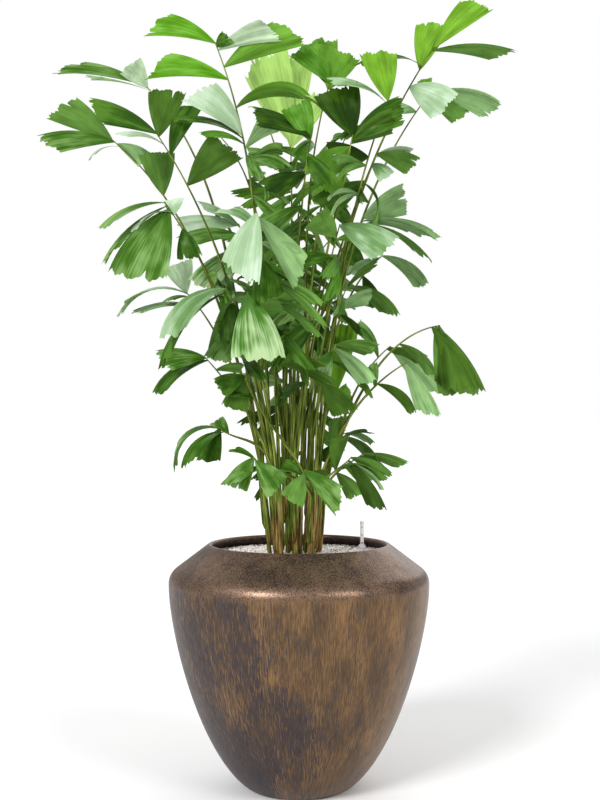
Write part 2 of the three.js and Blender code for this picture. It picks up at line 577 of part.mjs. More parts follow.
// The blade is thickest along its middle veins and runs out to a sharp edge all round
function leafSolid(leaf) {
  const veins = [-1, 0, 1];
  const half = Math.max(LEAF_THICKNESS, leaf.reach / LENGTH_PER_THICKNESS) / 2;
  const points = [];
  const add = (point) => points.push(point.x, point.y, point.z) / 3 - 1;
  const rootTop = add(bladePoint(leaf, 0, 0, half * ROOT_SHARE));
  const rootUnder = add(bladePoint(leaf, 0, 0, -half * ROOT_SHARE));
  const edges = [add(bladePoint(leaf, -1, BLADE_MIDDLE, 0)), add(bladePoint(leaf, 1, BLADE_MIDDLE, 0))];
  const top = add(bladePoint(leaf, 0, BLADE_MIDDLE, half));
  const under = add(bladePoint(leaf, 0, BLADE_MIDDLE, -half));
  const ends = veins.map((vein) => add(bladePoint(leaf, vein, 1, 0)));
  const faces = [];
  for (const [root, middle, flip] of [[rootTop, top, false], [rootUnder, under, true]]) {
    const across = [edges[0], middle, edges[1]];
    for (let strip = 0; strip < 2; strip += 1) {
      const near = across[strip];
      const far = across[strip + 1];
      const trio = [[root, near, far], [near, ends[strip], far], [far, ends[strip], ends[strip + 1]]];
      trio.forEach(([a, b, c]) => faces.push(...(flip ? [a, c, b] : [a, b, c])));
    }
  }
  faces.push(rootUnder, edges[0], rootTop, rootTop, edges[1], rootUnder);
  const turnedOver = leaf.chord.clone().cross(leaf.across).dot(leaf.face) < 0;
  if (turnedOver) {
    for (let index = 0; index < faces.length; index += 3) {
      [faces[index + 1], faces[index + 2]] = [faces[index + 2], faces[index + 1]];
    }
  }
  const mesh = new wasm.Mesh({
    numProp: 3,
    vertProperties: new Float32Array(points),
    triVerts: new Uint32Array(faces),
  });
  return new wasm.Manifold(mesh);
}

// True where a solid comes closer than the clearance to one that stands already
function crowded(solid, standing) {
  const box = solid.boundingBox();
  return standing.some((other) => {
    const apart = [0, 1, 2].some((axis) => other.box.min[axis] > box.max[axis] + 1
      || other.box.max[axis] < box.min[axis] - 1);
    return !apart && solid.minGap(other.solid, 1) < CLEARANCE * 0.8;
  });
}

// The outer shell alone, so that a pocket closed in between crossing blades is solid
function largestShell(solid) {
  return solid.decompose().reduce((kept, shell) => (shell.volume() > kept.volume() ? shell : kept));
}

// Leaves by rule stay inside the dense middle of the crown, beside which the front view shows gaps
function leavesCrown(leaf) {
  return Math.abs(leaf.root.x + leaf.reach * leaf.chord.x - CLUMP_X) > RULED_HALF_WIDTH;
}

function growRibs(plans, standing) {
  for (const plan of plans) {
    for (let attempt = 0; attempt < RIB_ATTEMPTS && !plan.rib; attempt += 1) {
      const curve = ribCurve(plan, attempt);
      const solid = ribSolid(plan, curve);
      if (!crowded(solid, standing)) {
        plan.curve = curve;
        plan.rib = solid;
        standing.push({ solid, box: solid.boundingBox(), number: plan.number });
      }
    }
  }
}

function growLeaves(plan, standing) {
  const others = standing.filter((other) => other.number !== plan.number);
  const count = plan.rows.length + plan.lower;
  const solids = [plan.rib];
  plan.lastJoint = FIRST_JOINT - JOINT_SPACING;
  for (let order = 0; order < count; order += 1) {
    if (order >= plan.rows.length && plan.lastJoint > LEAFY_SHARE * plan.curve.getLength()) {
      break;
    }
    const leaf = placeLeaf(plan, order);
    if (order >= plan.rows.length && leavesCrown(leaf)) {
      continue;
    }
    for (let attempt = 0; attempt < TURNS.length; attempt += 1) {
      const solid = leafSolid(attemptLeaf(leaf, attempt));
      if (!crowded(solid, others)) {
        solids.push(solid);
        standing.push({ solid, box: solid.boundingBox(), number: plan.number });
        break;
      }
    }
  }
  return largestShell(wasm.Manifold.union(solids).simplify(FUSE_TOLERANCE));
}

const plant = new THREE.Group();
plant.add(named('pot', potGeometry(), MATERIALS.pot));
plant.add(named('gravel_fill', fillGeometry(), MATERIALS.fill));

const gauge = named('water_gauge', gaugeGeometry(), MATERIALS.gauge);
gauge.position.set(GAUGE_X, GAUGE_Y, FILL_HEIGHT + CLEARANCE);
plant.add(gauge);

const canes = Array.from({ length: CANE_COUNT }, (_, index) => caneCurve(index));
const standing = [];
canes.forEach((curve, index) => {
  const geometry = limbGeometry(curve, new Vector3(1, 0, 0), CANE_BASE_RADIUS, CANE_TOP_RADIUS, 8, 4, true);
  plant.add(named(`cane_${index + 1}`, geometry, MATERIALS.cane));
  const solid = solidFrom(geometry.clone());
  standing.push({ solid, box: solid.boundingBox(), number: -1 });
});

const plans = SHOWN_FRONDS.map(shownPlan);
for (let number = SHOWN_FRONDS.length; number < FROND_COUNT; number += 1) {
  plans.push(hiddenPlan(number));
}
seatFronds(plans, canes);
growRibs(plans, standing);
plans.filter((plan) => plan.rib).forEach((plan) => {
  const frond = growLeaves(plan, standing);
  plant.add(named(`frond_${plan.number + 1}`, geometryFrom(frond), MATERIALS.frond));
});

export default plant;
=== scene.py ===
"""Blender scene of a potted clustering fishtail palm: studio, camera and every visible surface."""

from math import acos, atan, atan2, cos, hypot, inf, pi, radians, sin, sqrt
from types import SimpleNamespace

import bpy
import numpy as np
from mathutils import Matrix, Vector
from mathutils.kdtree import KDTree


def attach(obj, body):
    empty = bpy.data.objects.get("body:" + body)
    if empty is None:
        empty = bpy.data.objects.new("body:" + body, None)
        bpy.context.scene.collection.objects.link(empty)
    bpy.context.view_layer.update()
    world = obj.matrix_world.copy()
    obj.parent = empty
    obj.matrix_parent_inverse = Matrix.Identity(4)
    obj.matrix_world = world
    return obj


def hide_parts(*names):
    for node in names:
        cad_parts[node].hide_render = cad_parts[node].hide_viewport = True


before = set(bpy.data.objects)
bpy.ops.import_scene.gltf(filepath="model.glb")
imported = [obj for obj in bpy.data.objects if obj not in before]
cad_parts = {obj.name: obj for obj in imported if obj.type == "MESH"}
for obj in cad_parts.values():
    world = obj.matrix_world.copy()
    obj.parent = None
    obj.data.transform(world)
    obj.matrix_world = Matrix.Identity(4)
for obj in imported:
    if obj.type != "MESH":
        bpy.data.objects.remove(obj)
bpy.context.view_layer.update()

# Sizes are millimetres and angles degrees. A pair that within() takes is the least value and what chance
# adds to it.
MM = 0.001
UP = np.array([0.0, 0.0, 1.0])
CLEARANCE = 0.3

# The viewer: distance from the planter's axis, height, focal length in pixels of the 800 pixel high frame,
# how far the level line lies below the frame's middle, and how far aside the viewer stands
EYE_DISTANCE = 2800
EYE_HEIGHT = 865
EYE_ASIDE = 2.3
FOCAL_PIXELS = 1209
FRAME_PIXELS = 800
LEVEL_PIXELS = 10
SENSOR = 36

# The lights are far off; each has the side it stands on, its strength and how many degrees wide it looks.
# The floor reaches so many metres to each side.
LIGHTS = (("key", (-0.50, -0.71, 0.50), 2.2, 20), ("fill", (0.60, -0.62, 0.50), 0.95, 24),
          ("back", (0.2, 1.0, 0.8), 0.9, 60))
FLOOR_REACH = 60.0

# Planter
POT_RADIUS = 300
POT_HEIGHT = 557
POT_WALL = 12
POT_SIDES = 160
FOOT_RADIUS = 116
FOOT_FLARE = (108, 66)
SHOULDER_DROP = 116
FLOOR_THICKNESS = 14
FLOOR_RADIUS = 112
SHOULDER_HEIGHT = 468
SHOULDER_ROUND = 40
SHOULDER_SLOPE = 53
LIP_ROUND = 6
LIP_ARC = (62, 225)
WALL_RINGS = 48
SHOULDER_RINGS = 12
SLOPE_RINGS = 8
LIP_RINGS = 14
INSIDE_FROM = 4
FILL_HEIGHT = 531

# Gravel: the colours in screen numbers, each with the share of the grains up to and including it
GRAIN_SIZE = 6.0
GRAIN_SPACING = 4.9
GRAIN_ROW_SHARE = 0.87
GRAIN_SCATTER = 0.7
GRAIN_LIFT = (-1.6, 2.2)
GRAIN_WALL_GAP = 1.5
GRAIN_LUMPS = (0.82, 0.3)
GRAIN_SCALE = (0.65, 0.6)
GRAIN_BREADTH = (0.75, 0.3)
GRAIN_THICKNESS = (0.6, 0.3)
GRAIN_TILT = 1.2
GRAIN_RINGS = 4
GRAIN_SIDES = 6
GRAVEL_DIP = 3.0
BED_SIDES = 96
GRAVEL_COLOURS = (("white", (246, 245, 244), 0.46), ("cream", (236, 220, 208), 0.74),
                  ("tan", (186, 156, 138), 0.88), ("grey", (190, 198, 206), 0.95),
                  ("brown", (92, 70, 62), 1.0))

# Water gauge: each mark has a height and a finish, each finish a colour and a roughness
GAUGE_X = 152
GAUGE_Y = 119
GAUGE_RADIUS = 5.2
GAUGE_HEIGHT = 66
GAUGE_FOOT_RADIUS = 11.5
GAUGE_SIDES = 32
MARK_SIDES = 20
GAUGE_MARKS = ((52, 3), (33, 3), (13.6, 4))
GAUGE_FINISHES = (("foot", (222, 220, 230), 0.35), ("tube", (244, 244, 246), 0.2),
                  ("cap", (228, 228, 230), 0.3), ("mark_yellow", (228, 196, 74), 0.4),
                  ("mark_red", (190, 52, 40), 0.4))

# Clump of canes
CLUMP_X = -11
CLUMP_RADIUS = 69
CANE_COUNT = 12
CANE_LOWEST_TOP = 612
CANE_TOP_SPREAD = 250
CANE_FLARE = 0.42
CANE_BEND = 9
CANE_TURN_SPREAD = 0.35
INNER_CANE_RISE = 0.55
GOLDEN_ANGLE = 2.399963
CORE_BASE_RADIUS = 6.6
CORE_TOP_RADIUS = 3.6

# Fronds and their leaves, as the solids grow them
FROND_COUNT = 45
FRONDS_PER_CANE = 4
LOWEST_FROND = 730
SEAT_RISE = 0.25
SEAT_HEIGHT_WEIGHT = 0.4
FULL_CANE_COST = 1e6
PETIOLE_RADIUS = 3.2
RIB_TIP_RADIUS = 1.8
PETIOLE_RING = 5.2
RIB_SEGMENTS = 7
RIB_SIDES = 3
RIB_ATTEMPTS = 60
RIB_PUSH = (3, 1.5)
RIB_MATCH = 0.2
FOOT_HANDLE = 0.4
END_HANDLE = 0.3
SHORT_EDGE_CUT = 0.28
END_ROUNDING = 2.2
SHORT_SIDE_SHARE = 0.62
EDGE_ROUNDING = 2.2
TIP_LEAN = 0.6
BREADTH_SCALE = 1.25
EDGE_ON_TURN = 45
EDGE_ON_BOW = 62
FACE_ON_BOW = 26
BOW_SHARE = (0.75, 0.5)
LEAN = (-11, 34)
FOLD = (0, 0.2)
ARCH = 0.05
ROOT_SINK = 1
FIRST_JOINT = 3
JOINT_SPACING = 8
LEAN_LENGTH = 700
TURNS = (0, 24, -24, 0, 0, 48, -48, 30, -30)
SWINGS = (0, 0, 0, 12, -12, 8, -8, -20, 20)

# The corners of a solid leaf that tell its attempt, and how near they have to be
SOLID_VEINS = (-1, 0, 1, -1, 1)
SOLID_PARTS = (1, 1, 1, 0.5, 0.5)
LEAF_MATCH = 0.7

# Fronds that the front view shows, each as (x, z, depth, bearing, leaf, leaf and so on). x and z are where
# the last leaf joint is seen on the plane of the pot's axis, depth is how far behind that plane it lies, and
# bearing is the rib's direction there, in degrees from +X towards +Z.
# Each leaf is (distance back from the last joint, bearing of the tip of the longer edge,
# reach to that tip, turn of the blade away from the viewer, breadth as a share of the reach), and a sixth
# value, where there is one, is the angle the leaf droops through. A breadth below 0 swaps the longer and
# the shorter edge.
SHOWN_FRONDS = [
    (-195, 1719, -120, 112, (0, 170, 171, 20, -0.32), (0, 60, 40, 0, 0.9), (4, 12, 152, 30, -0.3),
     (60, 19, 205, 12, -0.3), (90, 177, 196, 12, -0.26), (157, 1, 182, 62, 0.3, 110),
     (221, 150, 162, 15, -0.42), (230, 166, 176, 60, 0.26, 60), (244, 172, 112, 50, 0.3, 60)),
    (-332, 1509, -70, 124, (0, 156, 174, 10, 0.28), (0, 64, 120, 0, -0.6), (38, 172, 120, 62, 0.3, 60),
     (62, 61, 143, 0, -0.32), (141, 30, 147, 0, -0.52)),
    (-436, 1494, 20, 141, (0, 160, 156, 5, -0.4), (8, 182, 176, 14, 0.26), (14, 335, 92, 20, 0.42),
     (32, 204, 84, 72, 0.3, 80), (180, 114, 110, 5, 0.62)),
    (-358, 1619, 170, 135, (0, 170, 226, 35, -0.18), (6, 148, 72, 0, -0.7), (22, 173, 156, 72, 0.16, 20)),
    (-312, 1348, -150, 125, (0, 206, 166, 58, 0.26, 55), (6, 222, 208, 60, 0.24, 40),
     (12, 235, 210, 0, 0.52), (18, 213, 115, 72, 0.3), (24, 115, 42, 10, 1), (75, 300, 85, 10, 0.6)),
    (-98, 1325, -300, 100, (0, 268, 192, 5, -0.42), (6, 300, 192, 5, -0.3), (60, 150, 125, 60, 0.4),
     (75, 345, 96, 30, 0.4), (120, 262, 112, 10, 0.6)),
    (-140, 1297, 60, 112, (0, 178, 152, 10, 0.3), (6, 150, 119, 55, 0.3, 40), (37, 192, 160, 40, 0.3, 50),
     (60, 214, 158, 10, 0.46), (80, 60, 90, 40, 0.5)),
    (-172, 1148, -250, 118, (0, 221, 190, 52, 0.48, 85), (8, 230, 240, 66, 0.22, 60),
     (16, 253, 150, 10, 0.4), (40, 262, 110, 5, 0.6), (100, 225, 118, 10, 0.45)),
    (-262, 1139, 70, 132, (0, 126, 78, 0, 0.75), (0, 198, 176, 78, 0.4, 100), (4, 192, 72, 66, 0.4),
     (50, 184, 166, 66, 0.26, 50)),
    (-120, 1138, -260, 95, (0, 294, 176, 0, 0.6), (0, 264, 128, 10, 0.6), (50, 20, 120, 50, 0.5),
     (95, 175, 95, 40, 0.5)),
    (-218, 988, -70, 132, (0, 178, 120, 20, 0.4), (4, 213, 152, 58, 0.4, 65), (40, 10, 70, 40, 0.4)),
    (-125, 946, -150, 105, (0, 192, 76, 0, 0.6), (0, 232, 82, 0, 0.65), (0, 52, 72, 20, 0.6),
     (60, 165, 70, 55, 0.45)),
    (-185, 825, -70, 132, (0, 240, 92, 8, 0.5), (4, 222, 140, 80, 0.5, 125), (10, 222, 138, 60, 0.4, 90),
     (20, 150, 50, 30, 0.6)),
    (-106, 757, -180, 118, (0, 227, 92, 10, 0.55), (0, 294, 94, 5, 0.6), (6, 157, 78, 60, 0.25),
     (42, 204, 112, 50, 0.3)),
    (14, 728, -230, 80, (0, 309, 132, 20, -0.38), (0, 261, 83, 5, 0.6), (40, 160, 70, 50, 0.5),
     (40, 20, 60, 50, 0.5)),
    (122, 757, -70, 52, (0, 336, 112, 40, 0.4), (4, 304, 146, 25, 0.27), (8, 322, 110, 72, 0.35),
     (50, 70, 90, 30, 0.45), (50, 6, 95, 66, 0.4)),
    (150, 765, 60, 38, (0, 347, 112, 30, 0.26), (0, 328, 68, 20, 0.6), (55, 335, 78, 30, 0.5),
     (80, 318, 80, 20, 0.5)),
    (104, 812, 90, 60, (0, 340, 76, 66, 0.5), (0, 322, 112, 78, 0.4), (24, 12, 84, 74, 0.4),
     (30, 222, 58, 10, 0.8), (50, 72, 88, 15, 0.4)),
    (327, 1061, -50, 8, (0, 288, 172, 22, 0.36), (4, 304, 200, 0, 0.44), (8, 306, 188, 25, 0.3),
     (105, 318, 120, 62, 0.4)),
    (212, 1013, 70, 38, (0, 321, 176, 22, 0.28), (4, 345, 96, 40, 0.4), (40, 120, 100, 50, 0.4)),
    (248, 974, -110, 30, (0, 302, 150, 5, 0.28), (84, 321, 120, 55, 0.36, 70), (90, 90, 60, 40, 0.5)),
    (86, 1018, -150, 55, (0, 358, 104, 40, 0.4), (0, 318, 130, 40, 0.36), (10, 262, 80, 5, 0.7),
     (45, 318, 138, 70, 0.3), (100, 318, 114, 5, 0.45)),
    (72, 880, 110, 74, (0, 74, 212, 5, 0.3), (0, 48, 70, 20, 0.6), (30, 110, 110, 50, 0.4)),
    (113, 1152, 40, 62, (0, 330, 140, 45, 0.3, 90), (0, 42, 118, 62, 0.24, 40), (60, 28, 95, 35, 0.4),
     (66, 318, 95, 60, 0.3), (30, 190, 90, 40, 0.5)),
    (194, 1224, 130, 40, (0, 322, 134, 50, 0.32, 70), (0, 208, 95, 40, 0.4), (60, 120, 90, 20, 0.5),
     (70, 300, 90, 40, 0.5)),
    (150, 1312, 20, 60, (0, 34, 122, 5, 0.5), (4, 345, 190, 74, 0.25), (8, 332, 192, 74, 0.16, 60),
     (12, 358, 180, 70, 0.22, 60), (45, 120, 85, 40, 0.5)),
    (95, 1296, -170, 75, (0, 341, 146, 5, 0.46), (30, 120, 78, 10, 0.8), (35, 358, 118, 62, 0.45),
     (80, 190, 90, 40, 0.5)),
    (315, 1708, -50, 55, (0, 33, 158, 5, -0.32), (8, 358, 200, 62, 0.2, 30), (54, 188, 168, 58, 0.28),
     (58, 60, 124, 5, 0.5), (108, 338, 122, 0, 0.6)),
    (208, 1587, -180, 68, (0, 117, 124, 5, -0.58), (0, 166, 155, 60, 0.36), (70, 200, 100, 50, 0.4),
     (140, 168, 105, 0, 0.65)),
    (306, 1602, 60, 52, (0, 343, 176, 38, 0.3, 60), (4, 341, 108, 20, 0.45), (8, 80, 50, 20, 0.6),
     (58, 160, 60, 30, 0.6)),
    (181, 1462, -130, 66, (0, 347, 104, 25, 0.42), (0, 8, 92, 48, 0.3), (0, 183, 122, 52, 0.34),
     (6, 330, 56, 10, 0.7), (70, 200, 140, 40, 0.4)),
    (73, 1628, -60, 72, (0, 141, 114, 5, -0.62), (8, 86, 108, 5, 0.62), (16, 50, 100, 5, -0.8),
     (70, 165, 90, 60, 0.4)),
    (-20, 1495, 240, 92, (0, 113, 208, 0, -0.4), (6, 98, 236, 0, 0.4), (12, 80, 228, 0, -0.38),
     (18, 58, 152, 5, -0.6), (70, 165, 110, 40, 0.5)),
    (125, 1504, -210, 78, (0, 93, 129, 0, 0.72), (6, 43, 154, 35, 0.42), (14, 33, 126, 30, 0.42),
     (22, 215, 122, 5, 0.8)),
    (28, 1502, -260, 80, (0, 155, 156, 30, 0.36), (0, 98, 106, 5, 0.6), (50, 320, 110, 50, 0.4),
     (90, 200, 120, 30, 0.5)),
]

# Fronds of the back and the flanks follow a golden-angle rule inside these sizes. Their reach aside and
# back goes from the lowest frond's to the highest frond's.
HIDDEN_LEAVES = 16
HIDDEN_BACK_AZIMUTH = 90
HIDDEN_AZIMUTH_SPREAD = 150
HIDDEN_LOWEST = 1000
HIDDEN_HEIGHT_SPREAD = 690
HIDDEN_ASIDE = (70, 250)
HIDDEN_BACK = (270, 410)
HIDDEN_FIRST_SHARE = 0.2
HIDDEN_REACH_SHARE = (0.8, 0.3)
HIDDEN_SLOPE = (20, 35)
GOLDEN_SHARE = 0.618034

# High fronds carry leaves farther down their ribs too, which fill the middle of the crown
LOWER_LEAVES = 8
LOWER_LEAVES_FROM = 1240
LOWER_LEAVES_BACK = 150

# Leaves by rule
RULED_HALF_WIDTH = 170
LEAFY_SHARE = 0.62
LEAF_SPACING = 30
SPACING_SHARE = (0.8, 0.4)
TERMINAL_SPLAY = 8
SIDE_SPLAY = (50, 22)
DROOP = (0.25, 0.5)
RULED_REACH = (150, 50)
RULED_BOW = (28, 30)
TERMINAL_BREADTH = 0.6
SIDE_BREADTH = 0.44

# Blades: how fine they are, and how they wave
BLADE_COLUMNS = 37
BLADE_ROWS = 11
BLADE_HALF_THICKNESS = 0.3
PLEAT = 0.09
STALK_HALF_WIDTH = 1.5
BLADE_PLACES_SHIFT = 3.7
WAVE_COUNT = (0.8, 0.9)

# Waves across a blade: height as a share of its reach, power of the rise, count as a share, chance key
BLADE_WAVES = ((0.026, 2, 1, 27), (0.009, 3, 3.1, 28))

# Bitten ends, in shares of the blade's length
END_WAVE = 0.02
END_LOBES = (1.5, 2)
END_TEETH = (7, 5)
END_TOOTH = 0.05
END_NICK = 0.012
NOTCHED_SHARE = 0.45
NOTCH_PLACE = (0.15, 0.65)
NOTCH_DEPTH = (0.05, 0.1)
NOTCH_SHOULDER = 0.4
FAN_RAGGEDNESS = 1.8

# Leaflets that stand for one leaf by rule
TWIN_SPLAY = 0.32
TWIN_BREADTH = 0.42
TWIN_HANG = 0.7
TWIN_ROLL = 0.9
TWIN_LEAST_FALL = 0.25
SECOND_LEAFLET = 50
SECOND_LEAFLET_SHARE = 0.86

# Tones of the leaves by rule: painted light on high and outer leaves, painted shade on low and inner ones.
# The weights are those of height, distance out, the frond's luck and the leaf's.
TONE_HEIGHT = (700, 1100)
TONE_WIDTH = 450
TONE_DEPTH_WEIGHT = 0.55
TONE_WEIGHTS = (0.7, 0.33, 0.2, 0.26)
TONE_LEAST = (("bright", 0.78), ("fresh", 0.58), ("mid", 0.4), ("deep", 0.25))
# Shares of the leaves by rule that take soft and sheen, whose pale colour is painted sheen
SOFT_UNTIL = 0.08
SHEEN_UNTIL = 0.2

# Stalks, and the strands that run down the canes from them
STALK_SIDES = 8
STALK_RINGS = 34
STALK_FOOT_RADIUS = 5.0
STALK_TIP_RADIUS = 1.3
STALK_START_RADIUS = 0.8
STALK_TAPER = 1.5
STALK_PLACES_SHIFT = 5.3
STRAND_RINGS = 14
STRAND_STAND = 1.2
STRAND_HIGHEST_START = 0.7
STRAND_CANE_END = 0.97
BROWN_HEIGHT = 150
TUBE_SIDE_FROM = (0.31, 0.95, 0.05)

# Canes: the stems inside their sheaths are slimmer than the solids
CANE_SLIMNESS = 0.8
CANE_SIDES = 26
CANE_RINGS = 90
CANE_END_SHARE = 0.3
SHEATH_SPACING = (0.17, 0.1)
SHEATH_STAND = 0.5
SHEATH_TAPER = 1.1
BROWN_CANES = 0.45
CANE_PLACES = (2, 0.37)

# Fibres of a sheath: height, count round the cane, turn along it, and turn from one cane to the next
SHEATH_FIBRES = ((0.35, 7, 5, 1), (0.3, 13, -9, 0))
FRAY = 0.8
FRAY_COUNT = 5
FRAY_TURN = 2
FRAY_LENGTH = 1 / 6

# Leaf colours in the 0 to 255 numbers of a screen colour, as (upper side, its lighter streaks and end,
# underside), then the gloss, how far the lighter colour gathers towards the end, and the shade of the darker
# streaks as a share of the upper colour. The lighter end is partly the leaf's own colour and partly painted
# sheen. From bright down to dusk the tones are partly the leaves' own greens and partly painted light and
# painted shade: bright holds painted light shining through the blade, deep and dusk painted shade.
LEAF_TONES = {
    "bright": ((82, 140, 16), (112, 170, 56), (106, 156, 38), 0.1, 0.1, 0.7),
    "fresh": ((68, 120, 16), (96, 146, 54), (92, 140, 40), 0.12, 0.1, 0.68),
    "mid": ((64, 108, 24), (118, 156, 84), (86, 126, 50), 0.12, 0.14, 0.62),
    "deep": ((46, 84, 10), (78, 120, 36), (64, 98, 26), 0.1, 0.12, 0.64),
    "dusk": ((30, 58, 6), (56, 88, 20), (46, 74, 14), 0.08, 0.1, 0.64),
    # soft is a leaf green greyed by painted sheen; sheen is a deep green whose pale end is painted sheen
    "soft": ((102, 142, 82), (154, 184, 142), (126, 162, 104), 0.2, 0.2, 0.74),
    "sheen": ((62, 114, 18), (170, 198, 144), (92, 136, 54), 0.2, 0.3, 0.62),
    # fan is partly a young leaf's own pale green and partly painted light shining through it
    "fan": ((152, 194, 90), (204, 230, 152), (160, 198, 104), 0.1, 0.1, 0.8),
    "pale": ((154, 184, 142), (186, 208, 180), (168, 192, 156), 0.15, 0.14, 0.88),
}

# The tone of each leaf of the fronds in SHOWN_FRONDS. Besides each leaf's own green, the darker tones carry
# painted shade and the lighter ones painted light and painted sheen.
SHOWN_TONES = [
    "bright deep pale fresh bright fresh pale deep fresh",
    "deep deep pale deep deep",
    "mid mid soft pale mid",
    "mid pale soft",
    "mid mid mid pale pale deep",
    "pale soft soft soft deep",
    "pale soft mid sheen deep",
    "soft deep mid dusk mid",
    "pale soft mid soft",
    "sheen deep sheen deep",
    "mid deep mid",
    "deep deep mid deep",
    "deep mid deep mid",
    "mid mid deep mid",
    "mid mid deep deep",
    "mid dusk soft deep mid",
    "mid deep fresh mid",
    "soft mid deep deep mid",
    "deep mid deep mid",
    "soft deep mid",
    "soft deep mid",
    "mid soft sheen deep deep",
    "bright fresh mid",
    "mid deep soft deep mid",
    "soft soft deep deep",
    "soft soft mid soft deep",
    "soft mid fresh deep",
    "bright mid deep bright pale",
    "bright soft deep dusk",
    "soft mid fresh soft",
    "mid pale fresh soft deep",
    "fresh fresh fresh mid",
    "fan fan fan fan mid",
    "dusk deep deep fresh",
    "dusk fresh deep dusk",
]


def unit(vector):
    return vector / np.linalg.norm(vector, axis=-1, keepdims=True)


def chance(*keys):
    """A repeatable share from 0 to 1 for a set of whole numbers."""
    state = 2166136261
    for key in keys:
        state = ((state ^ (key + 1)) * 16777619) & 0xFFFFFFFF
        state ^= state >> 15
    state = (state * 2246822507) & 0xFFFFFFFF
    return (state ^ (state >> 13)) / 4294967296


def within(pair, *keys):
    least, spread = pair
    return least + spread * chance(*keys)


def screen(red, green, blue):
    """A screen colour as the linear numbers that shaders take."""
    shares = [value / 255 for value in (red, green, blue)]
    linear = [value / 12.92 if value <= 0.04045 else ((value + 0.055) / 1.055) ** 2.4 for value in shares]
    return (*linear, 1.0)


def darker(colour, share):
    return (*[value * share for value in colour[:3]], 1.0)


def turned_about(vector, axis, angle):
    """The vector turned about a unit axis."""
    cosine, sine = cos(angle), sin(angle)
    return vector * cosine + np.cross(axis, vector) * sine + axis * np.dot(axis, vector) * (1 - cosine)


def level_direction(angle):
    """The level direction at an angle from +X."""
    return np.array([cos(angle), sin(angle), 0.0])


def lengths_along(path):
    """How far each place of a path lies from its start, along the path."""
    steps = np.linalg.norm(np.diff(path, axis=0), axis=1)
    return np.concatenate([[0], np.cumsum(steps)])


class Curve:
    """A cubic curve from its four control places, with its length measured along 200 chords."""

    def __init__(self, *controls):
        self.controls = np.array(controls, float)
        self.shares = np.linspace(0, 1, 201)
        self.lengths = lengths_along(self.at(self.shares))
        self.length = self.lengths[-1]

    def at(self, share):
        share = np.asarray(share, float)[..., None]
        rest = 1 - share
        start, first, second, end = self.controls
        return rest**3 * start + 3 * rest**2 * share * first + 3 * rest * share**2 * second + share**3 * end

    def heading(self, share):
        share = np.asarray(share, float)
        return unit(self.at(np.clip(share + 1e-4, 0, 1)) - self.at(np.clip(share - 1e-4, 0, 1)))

    def along(self, share):
        """The curve's own share at a share of its length."""
        return np.interp(np.asarray(share, float) * self.length, self.lengths, self.shares)


def cane_curve(index):
    ring = CLUMP_RADIUS * sqrt((index + 0.5) / CANE_COUNT)
    out = level_direction(GOLDEN_ANGLE * index + CANE_TURN_SPREAD * (chance(index, 1) - 0.5))
    foot = np.array([CLUMP_X, 0, FILL_HEIGHT + CLEARANCE]) + ring * out
    inner = 1 - index / CANE_COUNT
    rise = INNER_CANE_RISE * inner + (1 - INNER_CANE_RISE) * chance(index, 2)
    top = CANE_LOWEST_TOP + CANE_TOP_SPREAD * rise
    end = foot + CANE_FLARE * (top - foot[2]) / CANE_TOP_SPREAD * ring * out
    end[2] = top
    bend = (foot + end) / 2
    bend[:2] += [CANE_BEND * (chance(index, key) - 0.5) for key in (3, 4)]
    return Curve(foot, foot + (bend - foot) * 2 / 3, end + (bend - end) * 2 / 3, end)


def seen(x, z, depth):
    """A place seen on the plane of the pot's axis, moved along the line of sight to its depth."""
    scale = (EYE_DISTANCE + depth) / EYE_DISTANCE
    return np.array([x * scale, depth, EYE_HEIGHT + (z - EYE_HEIGHT) * scale])


def bearing_vector(bearing, lean):
    flat = cos(lean)
    return np.array([cos(bearing) * flat, -sin(lean), sin(bearing) * flat])


def shown_plan(number):
    x, z, depth, bearing, *rows = SHOWN_FRONDS[number]
    along = bearing_vector(radians(bearing), -atan2(depth, LEAN_LENGTH))
    lower = LOWER_LEAVES if z > LOWER_LEAVES_FROM else 0
    return SimpleNamespace(number=number, end=seen(x, z, depth), along=along, depth=depth, rows=rows,
                           lower=lower)


def hidden_plan(number):
    step = number - len(SHOWN_FRONDS)
    share = (step * GOLDEN_SHARE + HIDDEN_FIRST_SHARE) % 1
    turn = (step + 0.5) / (FROND_COUNT - len(SHOWN_FRONDS)) - 0.5
    azimuth = radians(HIDDEN_BACK_AZIMUTH + HIDDEN_AZIMUTH_SPREAD * turn)
    vary = within(HIDDEN_REACH_SHARE, number, 5)
    aside, back = [vary * (low + (high - low) * share) for low, high in (HIDDEN_ASIDE, HIDDEN_BACK)]
    height = HIDDEN_LOWEST + HIDDEN_HEIGHT_SPREAD * share
    end = np.array([CLUMP_X + aside * cos(azimuth), back * sin(azimuth), height])
    slope = radians(within(HIDDEN_SLOPE, number, 6))
    along = cos(slope) * level_direction(azimuth) + sin(slope) * UP
    return SimpleNamespace(number=number, end=end, along=along, depth=0, rows=[], lower=HIDDEN_LEAVES)


